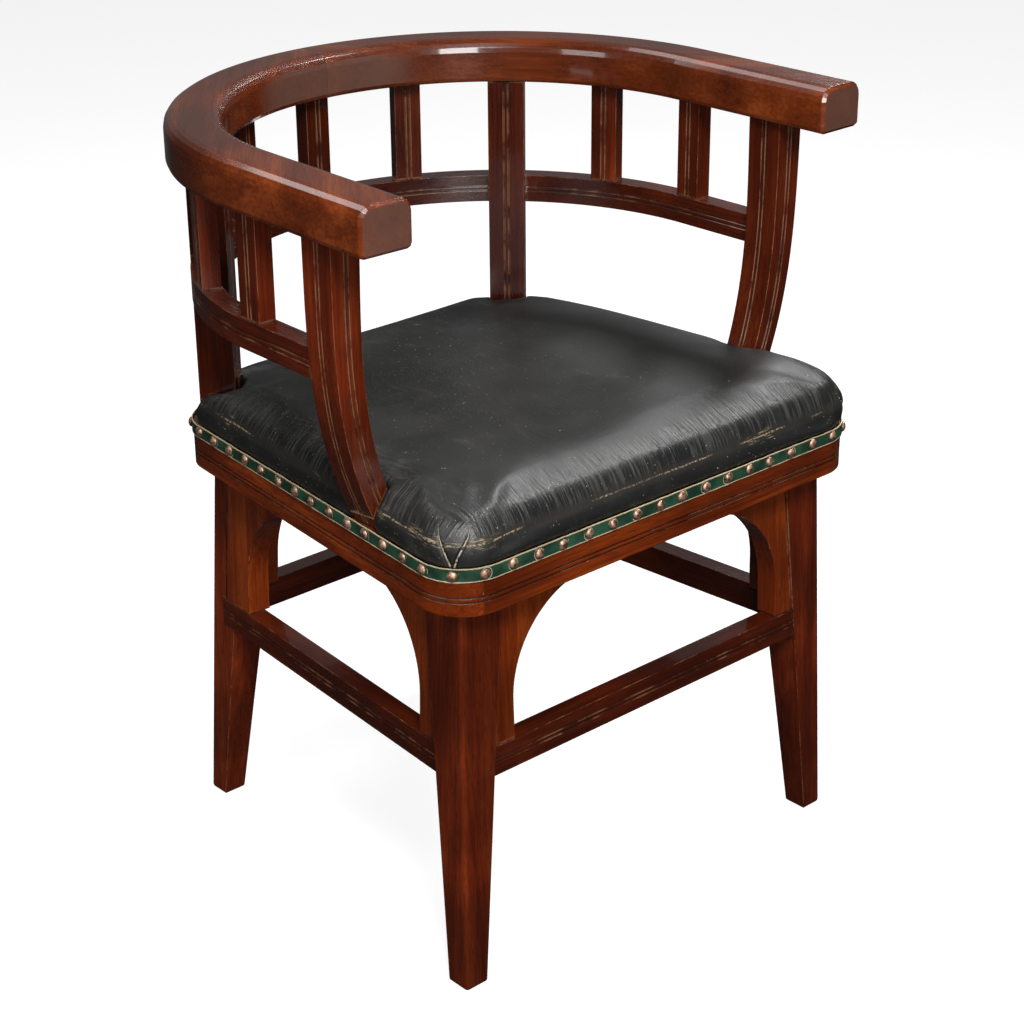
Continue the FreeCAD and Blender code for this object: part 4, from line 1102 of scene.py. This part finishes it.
@dataclass
class Nails:
    """The row of domed nails in the band."""

    line: SeatLine
    radius: float = 0.0054
    cut_off: float = 0.18
    dome: float = 0.0031
    rim: float = 0.0003
    height: float = 0.4330
    rings: int = 16
    segments: int = 16
    seed: int = 7
    tilt: float = 0.07
    stray_along: float = 0.06
    stray_up: float = 0.0007
    stray_size: float = 0.03

    def one(self) -> Piece:
        """Model one nail head, its foot at the origin and its dome along Z."""
        foot = self.radius * self.cut_off
        deselect()
        bpy.ops.mesh.primitive_uv_sphere_add(segments=self.segments, ring_count=self.rings,
                                             radius=self.radius)
        piece = bpy.context.active_object
        edit(piece)
        cut(UP * foot, UP, clear_inner=True)
        bpy.ops.mesh.select_all(action="SELECT")
        bpy.ops.transform.translate(value=(0, 0, -foot))
        bpy.ops.transform.resize(value=(1.0, 1.0, self.dome / (self.radius - foot)),
                                 center_override=(0, 0, 0))
        close()
        edit(piece, whole=False)
        bpy.ops.mesh.select_mode(type="EDGE")
        bpy.ops.mesh.select_non_manifold()
        bpy.ops.mesh.extrude_region_move(TRANSFORM_OT_translate={"value": (0, 0, -self.rim)})
        bpy.ops.mesh.edge_face_add()
        bpy.ops.mesh.select_all(action="SELECT")
        bpy.ops.mesh.normals_make_consistent(inside=False)
        bpy.ops.transform.translate(value=(0, 0, self.rim))
        close()
        return piece

    def build(self) -> None:
        """Set a nail head at every place and dress the row."""
        pattern = self.one()
        chance = random.Random(self.seed)
        copies = []
        for number in range(self.line.count()):
            foot, outward = self.line.at(number + chance.uniform(-self.stray_along, self.stray_along))
            foot.z = self.height + chance.uniform(-self.stray_up, self.stray_up)
            copy = added(f"nail_{number}", pattern.data.copy())
            lean = Vector([chance.uniform(-self.tilt, self.tilt) for _ in range(3)])
            aim = (outward + lean).normalized().to_track_quat("Z", "Y")
            size = 1.0 + chance.uniform(-self.stray_size, self.stray_size)
            copy.data.transform(Matrix.Translation(foot) @ aim.to_matrix().to_4x4()
                                @ Matrix.Diagonal((size, size, size, 1.0)))
            copies.append(copy)
        bpy.data.objects.remove(pattern)
        deselect()
        for copy in copies:
            copy.select_set(True)
        piece = copies[0]
        bpy.context.view_layer.objects.active = piece
        bpy.ops.object.join()
        piece.name = "dome_nails"
        smooth(piece, degrees=50.0)
        paint(piece, OldCopper().material())
        hand_over(piece, "nail_brass", "band_nails")


@dataclass
class Underside:
    """Webbing and bottom cloth under the stuffing, seen from below."""

    parts: int = 24
    sink: float = 0.0001
    unevenness: float = 0.0002
    uneven_pace: float = 60.0
    strap_share: float = 0.7
    cloth_share: float = 0.8
    webbing_thread: float = 0.0022
    cloth_thread: float = 0.0013

    def strap(self, item: Piece, node: str, number: int, material: Material) -> None:
        """Turn one strap of a node into a sheet of jute.

        Args:
            item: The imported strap.
            node: Name of its node.
            number: Its number in the node, from 1.
            material: The finish.
        """
        points = [vertex.co for vertex in item.data.vertices]
        low, high = (Vector([pick(point[axis] for point in points) for axis in range(3)])
                     for pick in (min, max))
        size = high - low
        deselect()
        bpy.ops.mesh.primitive_plane_add(size=1.0, location=((low.x + high.x) / 2, (low.y + high.y) / 2,
                                                             high.z))
        piece = bpy.context.active_object
        piece.name = f"{node}_{number}"
        piece.scale = (size.x, size.y, 1.0)
        bpy.ops.object.transform_apply(location=True, rotation=True, scale=True)
        edit(piece)
        bpy.ops.mesh.subdivide(number_cuts=self.parts)
        close()
        for vertex in piece.data.vertices:
            uneven = 1.0 + noise.noise(vertex.co * self.uneven_pace)
            vertex.co.z -= self.sink + self.unevenness * uneven
        modify(piece, "SOLIDIFY", thickness=size.z * self.strap_share, offset=-1.0)
        paint(piece, material)
        smooth(piece, degrees=50.0)
        hand_over(piece, "webbing", node)

    def build(self) -> None:
        """Build and dress the straps and the bottom cloth."""
        straps = Jute("jute_webbing", self.webbing_thread).material()
        for node in ("webbing_lengthwise", "webbing_crosswise"):
            edit(node_copy(node, "strap_places"))
            bpy.ops.mesh.separate(type="LOOSE")
            close()
            loose = [item for item in bpy.context.scene.objects if item.name.startswith("strap_places")]
            for number, item in enumerate(loose, 1):
                self.strap(item, node, number, straps)
                bpy.data.objects.remove(item)
        piece = node_copy("seat_hessian", "bottom_cloth")
        low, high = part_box("seat_hessian")
        keep_faces(piece, lambda face: face.normal.z >= TURNED_UP)
        modify(piece, "SOLIDIFY", thickness=(high.z - low.z) * self.cloth_share, offset=-1.0)
        paint(piece, Jute("jute_cloth", self.cloth_thread).material())
        hand_over(piece, "hessian", "seat_hessian")


@dataclass(frozen=True)
class Camera:
    """The photograph's point of view."""

    position: Point = (-1.3768, -1.5848, 1.2813)
    azimuth: float = -41.917
    elevation: float = 24.403
    roll: float = -0.462
    lens: float = 79.6
    sensor: float = 36.0
    clear_range: Span = (0.1, 60.0)

    def build(self) -> None:
        """Place the camera."""
        azimuth, elevation, roll = (math.radians(x) for x in (self.azimuth, self.elevation, self.roll))
        back = Vector((math.sin(azimuth) * math.cos(elevation),
                       -math.cos(azimuth) * math.cos(elevation), math.sin(elevation)))
        right = UP.cross(back).normalized()
        up = back.cross(right)
        turned_right = right * math.cos(roll) + up * math.sin(roll)
        turned_up = up * math.cos(roll) - right * math.sin(roll)
        data = bpy.data.cameras.new("camera")
        data.lens = self.lens
        data.sensor_width = self.sensor
        data.clip_start, data.clip_end = self.clear_range
        camera = added("camera", data)
        turn = Matrix((turned_right, turned_up, back)).transposed()
        camera.matrix_world = Matrix.Translation(self.position) @ turn.to_4x4()
        bpy.context.scene.camera = camera


@dataclass(frozen=True)
class Lamp:
    """A soft box that faces the seat."""

    name: str
    position: Point
    size: Span
    power: float
    target: Point = (0.0, 0.0, 0.5)

    def build(self) -> None:
        """Hang the lamp."""
        data = bpy.data.lights.new(self.name, "AREA")
        data.shape = "RECTANGLE"
        data.size, data.size_y = self.size
        data.energy = self.power
        lamp = added(self.name, data)
        lamp.location = self.position
        away = Vector(self.position) - Vector(self.target)
        lamp.rotation_euler = away.to_track_quat("Z", "Y").to_euler()


@dataclass
class Studio:
    """Plain pale floor, soft light and a white surround."""

    floor_size: float = 30.0
    surround: float = 0.13
    reflected: float = 0.022
    pale_wall: Point = (0.60, 0.75, 0.28)
    wall_glow: float = 0.16
    wall_grey: Colour = (0.8, 0.8, 0.8)
    wall_reach: Span = (0.72, 0.97)
    lamps: tuple[Lamp, ...] = (
        Lamp("key", (-1.2, -1.9, 2.65), (1.0, 1.0), 118.0),
        Lamp("low", (-1.45, -2.9, 1.0), (1.0, 0.8), 40.0),
        Lamp("top", (1.30, -0.20, 2.45), (0.42, 0.42), 40.0),
        Lamp("side", (1.60, 0.62, 1.62), (0.40, 0.40), 9.0),
        Lamp("back", (-0.3, 1.6, 2.6), (1.6, 1.0), 13.0),
        Lamp("left", (-2.5, -0.2, 1.6), (1.0, 1.4), 18.0),
    )

    def build(self) -> None:
        """Build the floor, the surround and the lamps."""
        deselect()
        bpy.ops.mesh.primitive_plane_add(size=self.floor_size)
        floor = bpy.context.active_object
        floor.name = "studio_floor"
        floor.visible_glossy = False
        floor.visible_diffuse = False
        paint(floor, PaleFloor().material())
        self.lay_surround()
        for lamp in self.lamps:
            lamp.build()
        bpy.context.scene.view_settings.view_transform = "Standard"

    def lay_surround(self) -> None:
        """Make the surround white to the camera, soft as light, and dark in reflections but for a wall."""
        world = bpy.data.worlds.new("surround")
        bpy.context.scene.world = world
        world.use_nodes = True
        sky = Nodes(world.node_tree)
        path = sky.node("ShaderNodeLightPath").outputs
        around = sky.node("ShaderNodeTexCoord").outputs["Generated"]
        toward = sky.node("ShaderNodeVectorMath", {0: around, 1: self.pale_wall}, operation="DOT_PRODUCT")
        glow = sky.node("ShaderNodeMapRange", {
            "Value": toward.outputs["Value"], "From Min": self.wall_reach[0], "From Max": self.wall_reach[1],
            "To Min": self.reflected, "To Max": self.wall_glow}, interpolation_type="SMOOTHSTEP")
        seen, soft, mirrored = (
            sky.node("ShaderNodeBackground", {"Color": colour, "Strength": strength}).outputs[0]
            for colour, strength in ((WHITE, 1.0), (WHITE, self.surround),
                                     (self.wall_grey, glow.outputs["Result"])))
        unseen = sky.node("ShaderNodeMixShader", {0: path["Is Glossy Ray"], 1: soft, 2: mirrored})
        mix = sky.node("ShaderNodeMixShader", {0: path["Is Camera Ray"], 1: unseen.outputs[0], 2: seen})
        sky.output("ShaderNodeOutputWorld", mix.outputs[0])


def main() -> None:
    """Build the dressed chair."""
    logging.basicConfig(level=logging.INFO, format="%(name)s: %(message)s")
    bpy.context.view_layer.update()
    Camera().build()
    Studio().build()
    Woodwork().dress()
    line = SeatLine()
    line.read()
    Band(line).build()
    Nails(line).build()
    Seat().build()
    Underside().build()
    deselect()


if __name__ == "__main__":
    main()
